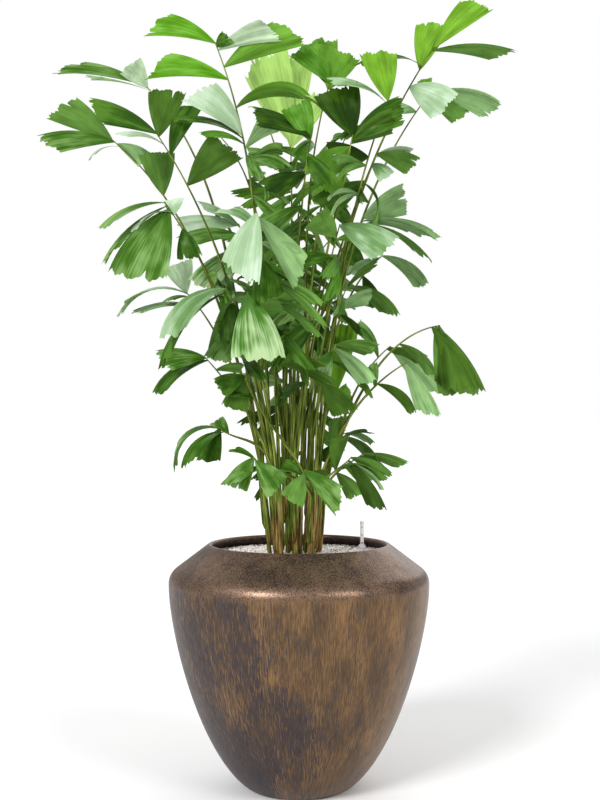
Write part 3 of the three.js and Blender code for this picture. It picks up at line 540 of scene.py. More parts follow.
def seat_fronds(plans, canes):
    """Each frond takes a free place on the cane whose top suits its direction and height best."""
    tops = [curve.controls[-1] for curve in canes]
    held = [[] for _ in canes]
    for plan in plans:
        wanted = CANE_LOWEST_TOP + SEAT_RISE * (plan.end[2] - LOWEST_FROND)
        costs = []
        for top, own in zip(tops, held):
            share = (top[2] - FILL_HEIGHT) / max(plan.end[2] - FILL_HEIGHT, 1)
            x = CLUMP_X + (plan.end[0] - CLUMP_X) * share
            miss = hypot(top[0] - x, top[1] - plan.end[1] * share)
            full = FULL_CANE_COST if len(own) >= FRONDS_PER_CANE else 0
            costs.append(miss + SEAT_HEIGHT_WEIGHT * abs(top[2] - wanted) + full)
        plan.cane = costs.index(min(costs))
        held[plan.cane].append(plan)
    for top, own in zip(tops, held):
        for plan in own:
            plan.azimuth = atan2(plan.end[1] - top[1], plan.end[0] - top[0])
        own.sort(key=lambda plan: plan.azimuth)
        middle = sum(plan.azimuth for plan in own) / max(len(own), 1)
        for place, plan in enumerate(own):
            plan.seat = middle + (place - (len(own) - 1) / 2) * 2 * pi / FRONDS_PER_CANE
            plan.foot = top + PETIOLE_RING * level_direction(plan.seat) + CLEARANCE * UP


def rib_curve(plan, attempt):
    """The petiole and rib as one curve; a later attempt bows it aside to pass its neighbours."""
    span = np.linalg.norm(plan.end - plan.foot)
    rise = unit((UP + unit(plan.end - plan.foot)) / 2)
    push = RIB_PUSH[0] + RIB_PUSH[1] * attempt if attempt else 0
    bow = push * level_direction(attempt * GOLDEN_ANGLE)
    first = plan.foot + rise * FOOT_HANDLE * span + bow
    second = plan.end - plan.along * END_HANDLE * span + bow
    return Curve(plan.foot, first, second, plan.end)


def rib_ring_points(plan, curve):
    """The inner corners of the solid rib, ring by ring."""
    azimuth = atan2(plan.end[1] - plan.foot[1], plan.end[0] - plan.foot[0])
    side = level_direction(azimuth + pi / 2)
    points = []
    for ring in range(1, RIB_SEGMENTS):
        share = ring / RIB_SEGMENTS
        along = curve.heading(share)
        across = unit(side - along * np.dot(side, along))
        third = np.cross(along, across)
        radius = PETIOLE_RADIUS + (RIB_TIP_RADIUS - PETIOLE_RADIUS) * share
        for corner in range(RIB_SIDES):
            angle = 2 * pi * corner / RIB_SIDES
            points.append(curve.at(share) + radius * (across * cos(angle) + third * sin(angle)))
    return points


def corner_tree(node):
    """A search tree of a solid's corners, in millimetres."""
    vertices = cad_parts[node].data.vertices
    tree = KDTree(len(vertices))
    for index, vertex in enumerate(vertices):
        tree.insert(vertex.co / MM, index)
    tree.balance()
    return tree


def misses(tree, points):
    """How far each place lies from the nearest corner of the solid."""
    return np.array([tree.find(Vector(point))[2] for point in points])


def find_rib(plan, tree):
    """The curve whose attempt the solid holds."""
    best, best_miss = None, inf
    for attempt in range(RIB_ATTEMPTS):
        curve = rib_curve(plan, attempt)
        miss = np.median(misses(tree, rib_ring_points(plan, curve)))
        if miss < best_miss:
            best, best_miss = curve, miss
        if miss < RIB_MATCH:
            break
    return best


def shown_leaf(plan, row, order):
    back, bearing, reach, turn, breadth, *droop = row
    bearing, turn = radians(bearing), radians(turn)
    chord = bearing_vector(bearing, radians(within(LEAN, plan.number, order, 7)))
    flat = np.array([-sin(bearing), 0, cos(bearing)])
    across = flat * cos(turn) + np.cross(chord, flat) * sin(turn)
    bow_like = EDGE_ON_BOW if turn > radians(EDGE_ON_TURN) else FACE_ON_BOW
    bow = droop[0] if droop else bow_like * within(BOW_SHARE, plan.number, order, 8)
    near = 1 + plan.depth / EYE_DISTANCE
    return SimpleNamespace(back=near * back, chord=chord, across=across, reach=near * reach,
                           breadth=BREADTH_SCALE * breadth * near * reach, bow=radians(bow))


def ruled_leaf(plan, order):
    """Leaves by rule stand on alternate sides of the rib and droop."""
    number = plan.number
    terminal = order == 0
    start = LOWER_LEAVES_BACK if plan.rows else 0
    back = start + (order - len(plan.rows)) * LEAF_SPACING * within(SPACING_SHARE, number, order, 9)
    along = plan.curve.heading(plan.curve.along(1 - back / plan.curve.length))
    level = unit(np.cross(along, UP))
    handed = 1 if order % 2 == 0 else -1
    splay = radians(TERMINAL_SPLAY if terminal else within(SIDE_SPLAY, number, order, 10))
    chord = along * cos(splay) + level * handed * sin(splay) - within(DROOP, number, order, 11) * UP
    reach = within(RULED_REACH, number, order, 12)
    return SimpleNamespace(back=back, chord=unit(chord), across=level if terminal else along, reach=reach,
                           breadth=reach * (TERMINAL_BREADTH if terminal else SIDE_BREADTH),
                           bow=radians(within(RULED_BOW, number, order, 13)))


def place_leaf(plan, order):
    shown = order < len(plan.rows)
    leaf = shown_leaf(plan, plan.rows[order], order) if shown else ruled_leaf(plan, order)
    leaf.number, leaf.order, leaf.shown = plan.number, order, shown
    leaf.back = max(leaf.back, plan.last_joint + JOINT_SPACING)
    plan.last_joint = leaf.back
    share = plan.curve.along(1 - leaf.back / plan.curve.length)
    leaf.across = unit(leaf.across - leaf.chord * np.dot(leaf.across, leaf.chord))
    if np.dot(leaf.across, plan.curve.heading(share)) * leaf.breadth < 0:
        leaf.across = -leaf.across
    leaf.breadth = abs(leaf.breadth)
    leaf.arch = ARCH * leaf.reach * leaf.across[2]
    leaf.fold = within(FOLD, plan.number, order, 14)
    leaf.root = plan.curve.at(share) - leaf.chord * ROOT_SINK
    return leaf


def face_upward(leaf):
    leaf.face = np.cross(leaf.chord, leaf.across)
    if leaf.face[2] < 0:
        leaf.face = -leaf.face


def attempt_leaf(leaf, attempt):
    tried = SimpleNamespace(**vars(leaf))
    tried.chord = turned_about(leaf.chord, leaf.across, radians(SWINGS[attempt]))
    tried.across = turned_about(leaf.across, tried.chord, radians(TURNS[attempt]))
    face_upward(tried)
    return tried


def blade_points(leaf, vein, part, lift, stalk_width=0):
    """Places on the blade. vein runs from -1, the short edge, to 1, the long edge; part from root to end."""
    vein, part, lift = np.broadcast_arrays(*[np.asarray(value, float) for value in (vein, part, lift)])
    run = part * (1 - SHORT_EDGE_CUT * ((1 - vein) / 2) ** END_ROUNDING)
    side = np.where(vein < 0, SHORT_SIDE_SHARE, 1 - SHORT_SIDE_SHARE)
    spread = leaf.breadth * side * vein * (1 - (1 - run) ** EDGE_ROUNDING)
    lean = TIP_LEAN * leaf.breadth * (1 - SHORT_SIDE_SHARE) * run
    sickle = 4 * leaf.arch * run * (1 - run)
    angle = leaf.bow * (0.5 - run)
    radius = leaf.reach / (2 * sin(leaf.bow / 2))
    off = leaf.fold * np.abs(spread) + lift
    forward = radius * (sin(leaf.bow / 2) - np.sin(angle)) - off * np.sin(angle)
    sideways = spread - lean + sickle + stalk_width * vein * (1 - part) ** 3
    height = radius * (np.cos(angle) - cos(leaf.bow / 2)) + off * np.cos(angle)
    return (leaf.root + forward[..., None] * leaf.chord + sideways[..., None] * leaf.across
            + height[..., None] * leaf.face)


def find_leaf(leaf, tree):
    """The leaf in the attempt that the solid holds, or None where the solid left it out."""
    best, best_hits = None, 1
    for attempt in range(len(TURNS)):
        tried = attempt_leaf(leaf, attempt)
        corners = blade_points(tried, SOLID_VEINS, SOLID_PARTS, 0)
        hits = int(np.sum(misses(tree, corners) < LEAF_MATCH))
        if hits > best_hits:
            best, best_hits = tried, hits
    return best


def leaves_crown(leaf):
    """Whether a leaf by rule reaches out of the dense middle of the crown."""
    return abs(leaf.root[0] + leaf.reach * leaf.chord[0] - CLUMP_X) > RULED_HALF_WIDTH


def grow_leaves(plan, tree):
    leaves = []
    plan.last_joint = FIRST_JOINT - JOINT_SPACING
    for order in range(len(plan.rows) + plan.lower):
        ruled = order >= len(plan.rows)
        if ruled and plan.last_joint > LEAFY_SHARE * plan.curve.length:
            break
        leaf = place_leaf(plan, order)
        if not (ruled and leaves_crown(leaf)):
            leaves.append(find_leaf(leaf, tree))
    return [leaf for leaf in leaves if leaf is not None]


def grow_plans(canes):
    """Every frond with its curve and leaves, as the solids hold them."""
    shown = len(SHOWN_FRONDS)
    plans = [shown_plan(number) if number < shown else hidden_plan(number) for number in range(FROND_COUNT)]
    seat_fronds(plans, canes)
    for plan in plans:
        plan.node = f"frond_{plan.number + 1}"
        tree = corner_tree(plan.node)
        plan.curve = find_rib(plan, tree)
        plan.leaves = grow_leaves(plan, tree)
    return plans


def add_object(name, data):
    made = bpy.data.objects.new(name, data)
    bpy.context.scene.collection.objects.link(made)
    return made


class Pile:
    """Gathers many small meshes, in millimetres, into one piece."""

    def __init__(self):
        self.points = []
        self.faces = []
        self.looks = []
        self.places = []
        self.count = 0

    def add(self, points, faces, look=0, places=None):
        self.points.append(points)
        self.faces += [tuple(corner + self.count for corner in face) for face in faces]
        self.looks += [look] * len(faces) if np.isscalar(look) else look
        self.places.append(np.zeros((len(points), 2)) if places is None else places)
        self.count += len(points)

    def build(self, name, materials, slot, nodes, sharp=None):
        """The piece stands for the named solids; edges over sharp degrees stay sharp."""
        mesh = bpy.data.meshes.new(name)
        mesh.from_pydata((np.concatenate(self.points) * MM).tolist(), [], self.faces)
        for material in materials:
            mesh.materials.append(material)
        mesh.polygons.foreach_set("material_index", np.array(self.looks, np.int32))
        mesh.polygons.foreach_set("use_smooth", np.ones(len(self.faces), bool))
        corners = np.zeros(len(mesh.loops), np.int32)
        mesh.loops.foreach_get("vertex_index", corners)
        layer = mesh.uv_layers.new(name="places")
        layer.data.foreach_set("uv", np.concatenate(self.places)[corners].astype(np.float32).ravel())
        mesh.update()
        if sharp is not None:
            mesh.set_sharp_from_angle(angle=radians(sharp))
        piece = add_object(name, mesh)
        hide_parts(*nodes)
        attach(piece, "root")


def grid_faces(rows, columns, flip=False, first=0, wrap=False):
    """Quads between neighbouring rows and columns of a grid of points."""
    faces = []
    for row in range(rows - 1):
        low = first + row * columns
        for column in range(columns if wrap else columns - 1):
            after = (column + 1) % columns
            face = (low + column, low + columns + column, low + columns + after, low + after)
            faces.append(face[::-1] if flip else face)
    return faces


def capped_faces(rings, sides):
    """Faces over rings of points, closed on a first and a last point that come after the rings."""
    faces = grid_faces(rings, sides, flip=True, wrap=True)
    start = rings * sides
    last = start - sides
    for corner in range(sides):
        after = (corner + 1) % sides
        faces += [(start, after, corner), (start + 1, last + corner, last + after)]
    return faces


def tube(path, radii, sides):
    """A closed tube along a path, as points, faces and places (round, along in decimetres)."""
    headings = unit(np.gradient(path, axis=0))
    side = unit(np.cross(headings[0], TUBE_SIDE_FROM))
    angles = np.arange(sides) * 2 * pi / sides
    rings = []
    for centre, heading, radius in zip(path, headings, radii):
        side = unit(side - heading * np.dot(side, heading))
        rounds = np.outer(np.cos(angles), side) + np.outer(np.sin(angles), np.cross(heading, side))
        rings.append(centre + np.broadcast_to(radius, sides)[:, None] * rounds)
    lengths = lengths_along(path) / 100
    places = np.column_stack([np.tile(np.arange(sides) / sides, len(path)), np.repeat(lengths, sides)])
    return (np.concatenate([*rings, path[:1], path[-1:]]), capped_faces(len(path), sides),
            np.vstack([places, [0, lengths[0]], [0, lengths[-1]]]))


def turned_body(profile, sides):
    """A body turned about the upright axis from (radius, height) places that start and end on the axis."""
    profile = np.asarray(profile, float)
    angles = np.arange(sides) * 2 * pi / sides
    radii, heights = profile[1:-1, :1], profile[1:-1, 1:]
    rings = np.stack([radii * np.cos(angles), radii * np.sin(angles), np.repeat(heights, sides, axis=1)], -1)
    points = np.vstack([rings.reshape(-1, 3), [0, 0, profile[0, 1]], [0, 0, profile[-1, 1]]])
    return points, capped_faces(len(profile) - 2, sides)


def new_material(name):
    """Two helpers for a new material: one adds a node, the other fills the shader and ends the work."""
    material = bpy.data.materials.new(name)
    material.use_nodes = True
    tree = material.node_tree

    def fill(target, inputs):
        """Each input is linked to a socket or set to a value."""
        for key, value in inputs.items():
            if isinstance(value, bpy.types.NodeSocket):
                tree.links.new(value, target.inputs[key])
            else:
                target.inputs[key].default_value = value

    def node(kind, inputs, output=0, **settings):
        made = tree.nodes.new(f"ShaderNode{kind}")
        for key, value in settings.items():
            setattr(made, key, value)
        fill(made, inputs)
        return made.outputs[output]

    def finish(inputs):
        fill(tree.nodes["Principled BSDF"], inputs)
        return material

    return node, finish


def ramp(node, amount, *stops):
    """A colour ramp with the given (position, colour) stops."""
    colour = node("ValToRGB", {"Fac": amount})
    band = colour.node.color_ramp
    while len(band.elements) < len(stops):
        band.elements.new(0.5)
    for element, (position, tint) in zip(band.elements, stops):
        element.position = position
        element.color = tint
    return colour


def noise(node, place, scale, detail, harshness=0.5):
    return node("TexNoise", {"Vector": place, "Scale": scale, "Detail": detail, "Roughness": harshness})


def streaks(node, across, along, detail=3.0):
    """Noise drawn out along a blade or stalk, from its own places."""
    place = node("UVMap", {}, uv_map="places")
    return noise(node, node("Mapping", {"Vector": place, "Scale": (across, along, 1)}), 1.0, detail, 0.6)


def bump(node, height, strength, depth, **under):
    """Relief from a height; under, where given, holds the Normal of a relief that it lies on."""
    return node("Bump", {"Height": height, "Strength": strength, "Distance": depth, **under})


def multiply_add(node, value, factor, more):
    return node("Math", {0: value, 1: factor, 2: more}, operation="MULTIPLY_ADD")


def leaf_material(name, tints, roughness, gloss, fade):
    """Fine veins that fan out from the root, and broad parts that are lighter, darker or glossier; the
    lighter colour gathering towards the end is partly painted sheen.
    """
    node, finish = new_material(name)
    broad = streaks(node, 2.4, 1.7, 2.0)
    amount = node("Mix", {"Factor": 0.66, "A": streaks(node, 30, 0.6), "B": broad}, "Result")
    # The colour lightens towards the blade's end by fade: partly painted sheen
    toward_end = node("SeparateXYZ", {0: node("UVMap", {}, uv_map="places")}, "Y")
    stops = zip((0.4 + 0.2 * fade, 0.5 + 0.4 * fade, 0.6 + 0.6 * fade), tints)
    waxy = {"Value": broad, "From Min": 0.42, "From Max": 0.62, "To Min": roughness + 0.3,
            "To Max": roughness - 0.04}
    return finish({
        "Base Color": ramp(node, multiply_add(node, toward_end, fade, amount), *stops),
        "Roughness": node("MapRange", waxy),
        "Specular IOR Level": gloss,
        "Normal": bump(node, streaks(node, 44, 0.5, 2.0), 0.5, 0.0008),
    })


def stalk_material(name, dark, low, high):
    node, finish = new_material(name)
    return finish({
        "Base Color": ramp(node, streaks(node, 6, 1.4), (0.38, dark), (0.5, low), (0.66, high)),
        "Roughness": 0.55,
        "Specular IOR Level": 0.1,
        "Normal": bump(node, streaks(node, 14, 2.0), 0.5, 0.0006),
    })


def speckled_material(name, scale, detail, harshness, low, high, roughness, gloss=0.5):
    """One (position, colour) stop that turns into another in specks."""
    node, finish = new_material(name)
    specks = noise(node, node("TexCoord", {}, "Object"), scale, detail, harshness)
    return finish({"Base Color": ramp(node, specks, low, high), "Roughness": roughness,
                   "Specular IOR Level": gloss})


def plain_material(name, colour, roughness):
    """A pebble or moulded plastic with a faint unevenness."""
    return speckled_material(name, 400, 2, 0.5, (0.3, darker(colour, 0.93)), (0.7, colour), roughness)


def jagged_end(leaf, veins):
    """How much of each vein the bitten end leaves off, as a share of the blade's length."""
    keys = (leaf.number, leaf.order)
    phase = chance(*keys, 22)
    cut = END_WAVE * (1 + np.sin(2 * pi * (within(END_LOBES, *keys, 21) * veins / 2 + phase)))
    place = (veins + 1) / 2 * within(END_TEETH, *keys, 20) + phase
    for index, value in enumerate(place):
        depth = END_NICK + END_TOOTH * chance(*keys, 30, int(value)) ** 1.5
        cut[index] += depth * (value % 1) + END_NICK * chance(*keys, 31, index)
    notch = int(len(veins) * within(NOTCH_PLACE, *keys, 23))
    if chance(*keys, 24) < NOTCHED_SHARE:
        cut[[notch - 1, notch]] += np.array([NOTCH_SHOULDER, 1]) * within(NOTCH_DEPTH, *keys, 25)
    cut[[0, -2]] *= 0.5
    cut[-1] = 0
    return cut


def blade_faces(over):
    """The faces of a blade's upper side, and those of its underside and edge."""
    size = BLADE_ROWS * BLADE_COLUMNS
    upper = grid_faces(BLADE_ROWS, BLADE_COLUMNS, flip=over)
    under = grid_faces(BLADE_ROWS, BLADE_COLUMNS, flip=not over, first=size)
    grid = np.arange(size).reshape(BLADE_ROWS, BLADE_COLUMNS)
    edge = np.concatenate([grid[:, 0], grid[-1, 1:], grid[-2::-1, -1], grid[0, -2:0:-1]]).tolist()
    for corner, after in zip(edge, edge[1:] + edge[:1]):
        face = (corner, corner + size, after + size, after)
        under.append(face[::-1] if over else face)
    return upper, under


def add_blade(pile, leaf, tone):
    """A pleated blade with a bitten end, closed all round."""
    keys = (leaf.number, leaf.order)
    veins = np.linspace(-1, 1, BLADE_COLUMNS)
    ragged = FAN_RAGGEDNESS if tone == "fan" else 1
    part = np.linspace(0, 1, BLADE_ROWS)[:, None] * (1 - ragged * jagged_end(leaf, veins))
    vein = np.broadcast_to(veins, part.shape)
    lift = PLEAT * np.where(np.arange(BLADE_COLUMNS) % 2, 1, -1) * np.minimum(part * 4, 1)
    waves = within(WAVE_COUNT, *keys, 26)
    for height, rise, share, key in BLADE_WAVES:
        turn = 2 * pi * (share * waves * vein / 2 + chance(*keys, key))
        lift = lift + height * leaf.reach * part**rise * np.sin(turn)
    sides = [blade_points(leaf, vein, part, lift + off, STALK_HALF_WIDTH).reshape(-1, 3)
             for off in (BLADE_HALF_THICKNESS, -BLADE_HALF_THICKNESS)]
    upper, under = blade_faces(bool(np.dot(np.cross(leaf.chord, leaf.across), leaf.face) < 0))
    places = np.column_stack([(vein.ravel() + 1) / 2 + BLADE_PLACES_SHIFT * chance(*keys, 29),
                              part.ravel()])
    pile.add(np.concatenate(sides), upper + under, [0] * len(upper) + [1] * len(under),
             np.tile(places, (2, 1)))


def leaf_tone(leaf):
    """Leaves by rule are brighter and yellower high up and outside, partly painted light, and darker inside,
    painted shade of the crown; a few show pale, with painted sheen.
    """
    if leaf.shown:
        return SHOWN_TONES[leaf.number].split()[leaf.order]
    pick = chance(leaf.number, leaf.order, 43)
    if pick < SHEEN_UNTIL:
        return "soft" if pick < SOFT_UNTIL else "sheen"
    tip = leaf.root + leaf.reach * leaf.chord
    height = (tip[2] - TONE_HEIGHT[0]) / TONE_HEIGHT[1]
    outer = min(hypot(tip[0] - CLUMP_X, TONE_DEPTH_WEIGHT * tip[1]) / TONE_WIDTH, 1)
    luck = [chance(leaf.number, 41) - 0.5, chance(leaf.number, leaf.order, 42) - 0.5]
    # Height and distance out lift the score to lighter tones: painted light outside, painted shade inside
    score = np.dot(TONE_WEIGHTS, [height, outer, *luck])
    return next((tone for tone, least in TONE_LEAST if score > least), "dusk")


def leaflets(leaf):
    """A broad leaf by rule stands for two narrow leaflets on one joint; the others stay whole."""
    if leaf.shown or leaf.order == 0:
        return [leaf]
    pair = []
    room = acos(min(1, max(-1, -leaf.chord[2]))) - TWIN_LEAST_FALL
    hang = min(TWIN_HANG * chance(leaf.number, leaf.order, 44), max(room, 0))
    for side, share, more in ((1, 1.0, 0), (-1, SECOND_LEAFLET_SHARE, SECOND_LEAFLET)):
        angle = side * TWIN_SPLAY * leaf.breadth / leaf.reach
        chord, across = [turned_about(way, leaf.face, angle) for way in (leaf.chord, leaf.across)]
        level = unit(np.cross(chord, UP))
        roll = TWIN_ROLL * (2 * chance(leaf.number, leaf.order, 45, side) - 1)
        one = SimpleNamespace(**vars(leaf))
        one.chord = turned_about(chord, level, -hang)
        one.across = turned_about(turned_about(across, level, -hang), one.chord, roll)
        face_upward(one)
        one.reach = share * leaf.reach
        one.breadth = TWIN_BREADTH * leaf.breadth
        one.order = leaf.order + more
        pair.append(one)
    return pair


def build_leaves(plans):
    piles = {tone: Pile() for tone in LEAF_TONES}
    fronds = {tone: set() for tone in LEAF_TONES}
    for plan in plans:
        for leaf in plan.leaves:
            tone = leaf_tone(leaf)
            for leaflet in leaflets(leaf):
                add_blade(piles[tone], leaflet, tone)
            fronds[tone].add(plan.node)
    for tone, (upper, light, under, gloss, fade, shade) in LEAF_TONES.items():
        over, below = screen(*upper), screen(*under)
        tints = [darker(over, shade), over, screen(*light)]
        under_tints = [darker(below, 0.7), below, darker(below, 1.34)]
        materials = [leaf_material(f"leaf_{tone}", tints, 0.34, gloss, fade),
                     leaf_material(f"leaf_{tone}_under", under_tints, 0.45, 0.12, 0.1)]
        piles[tone].build(f"leaves_{tone}", materials, "frond", sorted(fronds[tone]), sharp=50)


def core_radius(share):
    return CANE_SLIMNESS * (CORE_BASE_RADIUS + (CORE_TOP_RADIUS - CORE_BASE_RADIUS) * share)


def strand_path(plan, cane):
    """From where the petiole first stands free of its cane's sheath, up the cane and along its own rib."""
    shares = np.linspace(STRAND_HIGHEST_START * chance(plan.number, 51) ** 2, STRAND_CANE_END, STRAND_RINGS)
    climb = cane.at(shares) + (core_radius(shares) + STRAND_STAND)[:, None] * level_direction(plan.seat)
    return np.concatenate([climb, plan.curve.at(np.linspace(0.02, 1, STALK_RINGS))])


def build_stalks(plans, canes):
    pile = Pile()
    for plan in plans:
        path = strand_path(plan, canes[plan.cane])
        share = lengths_along(path)
        share = share / share[-1]
        radii = STALK_FOOT_RADIUS + (STALK_TIP_RADIUS - STALK_FOOT_RADIUS) * share**STALK_TAPER
        radii[0] = STALK_START_RADIUS
        points, faces, places = tube(path, radii, STALK_SIDES)
        brown_until = FILL_HEIGHT + BROWN_HEIGHT * chance(plan.number, 52)
        heights = points[[face[0] for face in faces], 2]
        places[:, 0] += STALK_PLACES_SHIFT * chance(plan.number, 53)
        pile.add(points, faces, np.where(heights < brown_until, 0, 1).tolist(), places)
    materials = [stalk_material("stalk_tan", screen(44, 34, 14), screen(120, 98, 50), screen(176, 150, 88)),
                 stalk_material("stalk_olive", screen(42, 56, 12), screen(90, 108, 34), screen(154, 164, 76))]
    pile.build("stalks", materials, "frond", [plan.node for plan in plans])


def build_canes(canes):
    """Stems wrapped in fibrous sheaths, each sheath ending in a raised ragged ring."""
    pile = Pile()
    angles = np.arange(CANE_SIDES) * 2 * pi / CANE_SIDES
    shares = np.linspace(0, 1, CANE_RINGS)
    for index, cane in enumerate(canes):
        steps = (shares / within(SHEATH_SPACING, index, 61) + chance(index, 62)) % 1
        radii = []
        for share, step in zip(shares, steps):
            base = core_radius(share) + SHEATH_STAND - SHEATH_TAPER * step
            for height, count, along, turn in SHEATH_FIBRES:
                base = base + height * np.sin(count * angles + along * share + turn * index)
            fray = np.maximum(np.sin(FRAY_COUNT * angles + FRAY_TURN * index), 0)
            radii.append(base + FRAY * fray * max(0, 1 - step / FRAY_LENGTH))
        radii[-1] = radii[-1] * CANE_END_SHARE
        points, faces, places = tube(cane.at(shares), radii, CANE_SIDES)
        places[:, 0] = CANE_PLACES[0] * places[:, 0] + CANE_PLACES[1] * index
        pile.add(points, faces, 0 if chance(index, 63) < BROWN_CANES else 1, places)
    # Near-black first stops: partly the sheaths' dark fibres, partly painted shade in the gaps between canes
    materials = [stalk_material("cane_brown", screen(24, 17, 9), screen(112, 84, 44), screen(182, 148, 92)),
                 stalk_material("cane_olive", screen(22, 24, 8), screen(88, 92, 28), screen(146, 144, 58))]
    pile.build("canes", materials, "cane", [f"cane_{index + 1}" for index in range(CANE_COUNT)])


def pot_outline():
    """Places and outward directions (radius, height) from the foot to the start of the lip."""
    wall = Curve([FOOT_RADIUS, 0], [FOOT_RADIUS + FOOT_FLARE[0], FOOT_FLARE[1]],
                 [POT_RADIUS, SHOULDER_HEIGHT - SHOULDER_DROP], [POT_RADIUS, SHOULDER_HEIGHT])
    shares = np.linspace(0.03, 1, WALL_RINGS)
    headings = wall.heading(shares)
    outs = np.column_stack([headings[:, 1], -headings[:, 0]])
    angles = radians(SHOULDER_SLOPE) * np.linspace(0.08, 1, SHOULDER_RINGS)
    round_outs = np.column_stack([np.cos(angles), np.sin(angles)])
    round_places = [POT_RADIUS - SHOULDER_ROUND, SHOULDER_HEIGHT] + SHOULDER_ROUND * round_outs
    edge, out = round_places[-1], round_outs[-1]
    rise = POT_HEIGHT - LIP_ROUND * (1 - sin(radians(SHOULDER_SLOPE))) - edge[1]
    slope_shares = np.linspace(0.1, 1, SLOPE_RINGS)[:, None]
    slope_places = edge + slope_shares * rise / out[0] * np.array([-out[1], out[0]])
    return (np.vstack([wall.at(shares), round_places, slope_places]),
            np.vstack([outs, round_outs, np.tile(out, (SLOPE_RINGS, 1))]))


def pot_material():
    """Bronze with an upright blue-grey patina and a finely speckled shoulder."""
    node, finish = new_material("bronze")
    place = node("TexCoord", {}, "Object")
    height = node("SeparateXYZ", {0: place}, "Z")
    level_place = node("VectorMath", {0: place, 1: (1, 1, 0)}, operation="MULTIPLY")
    round_place = node("VectorMath", {0: level_place}, operation="NORMALIZE")

    def upright_noise(across, along, detail, harshness, shift):
        """Noise whose grain runs up the wall."""
        tall = node("Math", {0: height, 1: along}, operation="MULTIPLY")
        lift = node("CombineXYZ", {"X": shift, "Z": tall})
        wide = node("VectorMath", {0: round_place, "Scale": across}, operation="SCALE")
        joined = node("VectorMath", {0: wide, 1: lift}, operation="ADD")
        return noise(node, joined, 1.0, detail, harshness)

    def between(amount, low, high):
        return node("MapRange", {"Value": amount, "From Min": low, "From Max": high},
                    interpolation_type="SMOOTHSTEP")

    def blended(share, first, second):
        return node("Mix", {"Factor": share, "A": first, "B": second}, "Result", data_type="RGBA")

    fine = upright_noise(190, 48, 3.0, 0.6, 3.0)
    medium = upright_noise(84, 28, 4.0, 0.65, 17.0)
    broad = upright_noise(3.4, 7.0, 4.0, 0.6, 11.0)
    amount = multiply_add(node, broad, 0.7, multiply_add(node, fine, 1.0, medium))
    amount = multiply_add(node, node("SeparateXYZ", {0: round_place}, "X"), -0.2, amount)
    patina = between(multiply_add(node, height, -0.27, amount), 1.25, 1.37)
    warm_amount = multiply_add(node, upright_noise(5.5, 9.0, 3.0, 0.6, 23.0), -0.6,
                               upright_noise(150, 38, 4.0, 0.7, 7.0))
    warm = ramp(node, warm_amount, (0.04, screen(82, 66, 52)), (0.2, screen(108, 84, 60)),
                (0.36, screen(138, 106, 72)))
    grey = ramp(node, medium, (0.36, screen(50, 47, 54)), (0.64, screen(80, 70, 68)))

    speckle = noise(node, place, 380, 3, 0.7)
    # The shoulder's speckled colour, lighter low on the shoulder and darker towards the lip
    shoulder_amount = multiply_add(node, noise(node, place, 14, 5, 0.65), 0.45, speckle)
    shoulder_tint = ramp(node, multiply_add(node, height, -0.33, shoulder_amount), (0.45, screen(60, 51, 48)),
                (0.55, screen(104, 84, 70)), (0.67, screen(144, 116, 94)))
    return finish({
        "Base Color": blended(between(height, 0.455, 0.485), blended(patina, warm, grey), shoulder_tint),
        "Roughness": node("MapRange", {"Value": patina, "To Min": 0.34, "To Max": 0.46}),
        "Normal": bump(node, speckle, 0.2, 0.0005, Normal=bump(node, fine, 0.25, 0.0006)),
        "Metallic": 0.65,
        "Specular IOR Level": 0.3,
    })


def build_pot():
    places, outs = pot_outline()
    angles = np.radians(np.linspace(*LIP_ARC, LIP_RINGS))
    lip = places[-1] - LIP_ROUND * outs[-1] + LIP_ROUND * np.column_stack([np.cos(angles), np.sin(angles)])
    inner = (places - POT_WALL * outs)[::-1]
    inner = inner[(inner[:, 1] < lip[-1, 1] - 1) & (inner[:, 1] > FLOOR_THICKNESS + 2)]
    profile = np.vstack([[0, 0], [FOOT_RADIUS - 3, 0], [FOOT_RADIUS + 0.5, 0.8], places, lip, inner,
                         [FLOOR_RADIUS, FLOOR_THICKNESS], [0, FLOOR_THICKNESS]])
    points, faces = turned_body(profile, POT_SIDES)
    outer_faces = (2 + len(places) + len(lip) - INSIDE_FROM) * POT_SIDES
    looks = [0] * outer_faces + [1] * (len(faces) - outer_faces)
    looks[-2 * POT_SIDES:] = [0, 1] * POT_SIDES
    pile = Pile()
    pile.add(points, faces, looks)
    inside = speckled_material("bronze_inside", 120, 4, 0.7, (0.38, screen(44, 36, 34)),
                               (0.62, screen(90, 74, 68)), 0.6, 0.2)
    pile.build("planter", [pot_material(), inside], "pot", ["pot"], sharp=40)


def grain(seed, centre):
    """A rounded pebble: a squashed, uneven ball of few faces."""
    points = []
    for ring in range(1, GRAIN_RINGS):
        polar = pi * ring / GRAIN_RINGS
        for side in range(GRAIN_SIDES):
            angle = 2 * pi * (side + 0.5 * ring) / GRAIN_SIDES
            wide = within(GRAIN_LUMPS, seed, 75, ring, side) * sin(polar)
            points.append([wide * cos(angle), wide * sin(angle), -cos(polar)])
    points += [[0, 0, -1], [0, 0, 1]]
    shape = np.array([1, within(GRAIN_BREADTH, seed, 73), within(GRAIN_THICKNESS, seed, 74)])
    points = np.array(points) * shape * GRAIN_SIZE / 2 * within(GRAIN_SCALE, seed, 72)
    tilt = GRAIN_TILT * (chance(seed, 76) - 0.5)
    turn = 2 * pi * chance(seed, 71)
    points = points @ np.array([[1, 0, 0], [0, cos(tilt), -sin(tilt)], [0, sin(tilt), cos(tilt)]])
    return points @ np.array([[cos(turn), -sin(turn), 0], [sin(turn), cos(turn), 0], [0, 0, 1]]) + centre


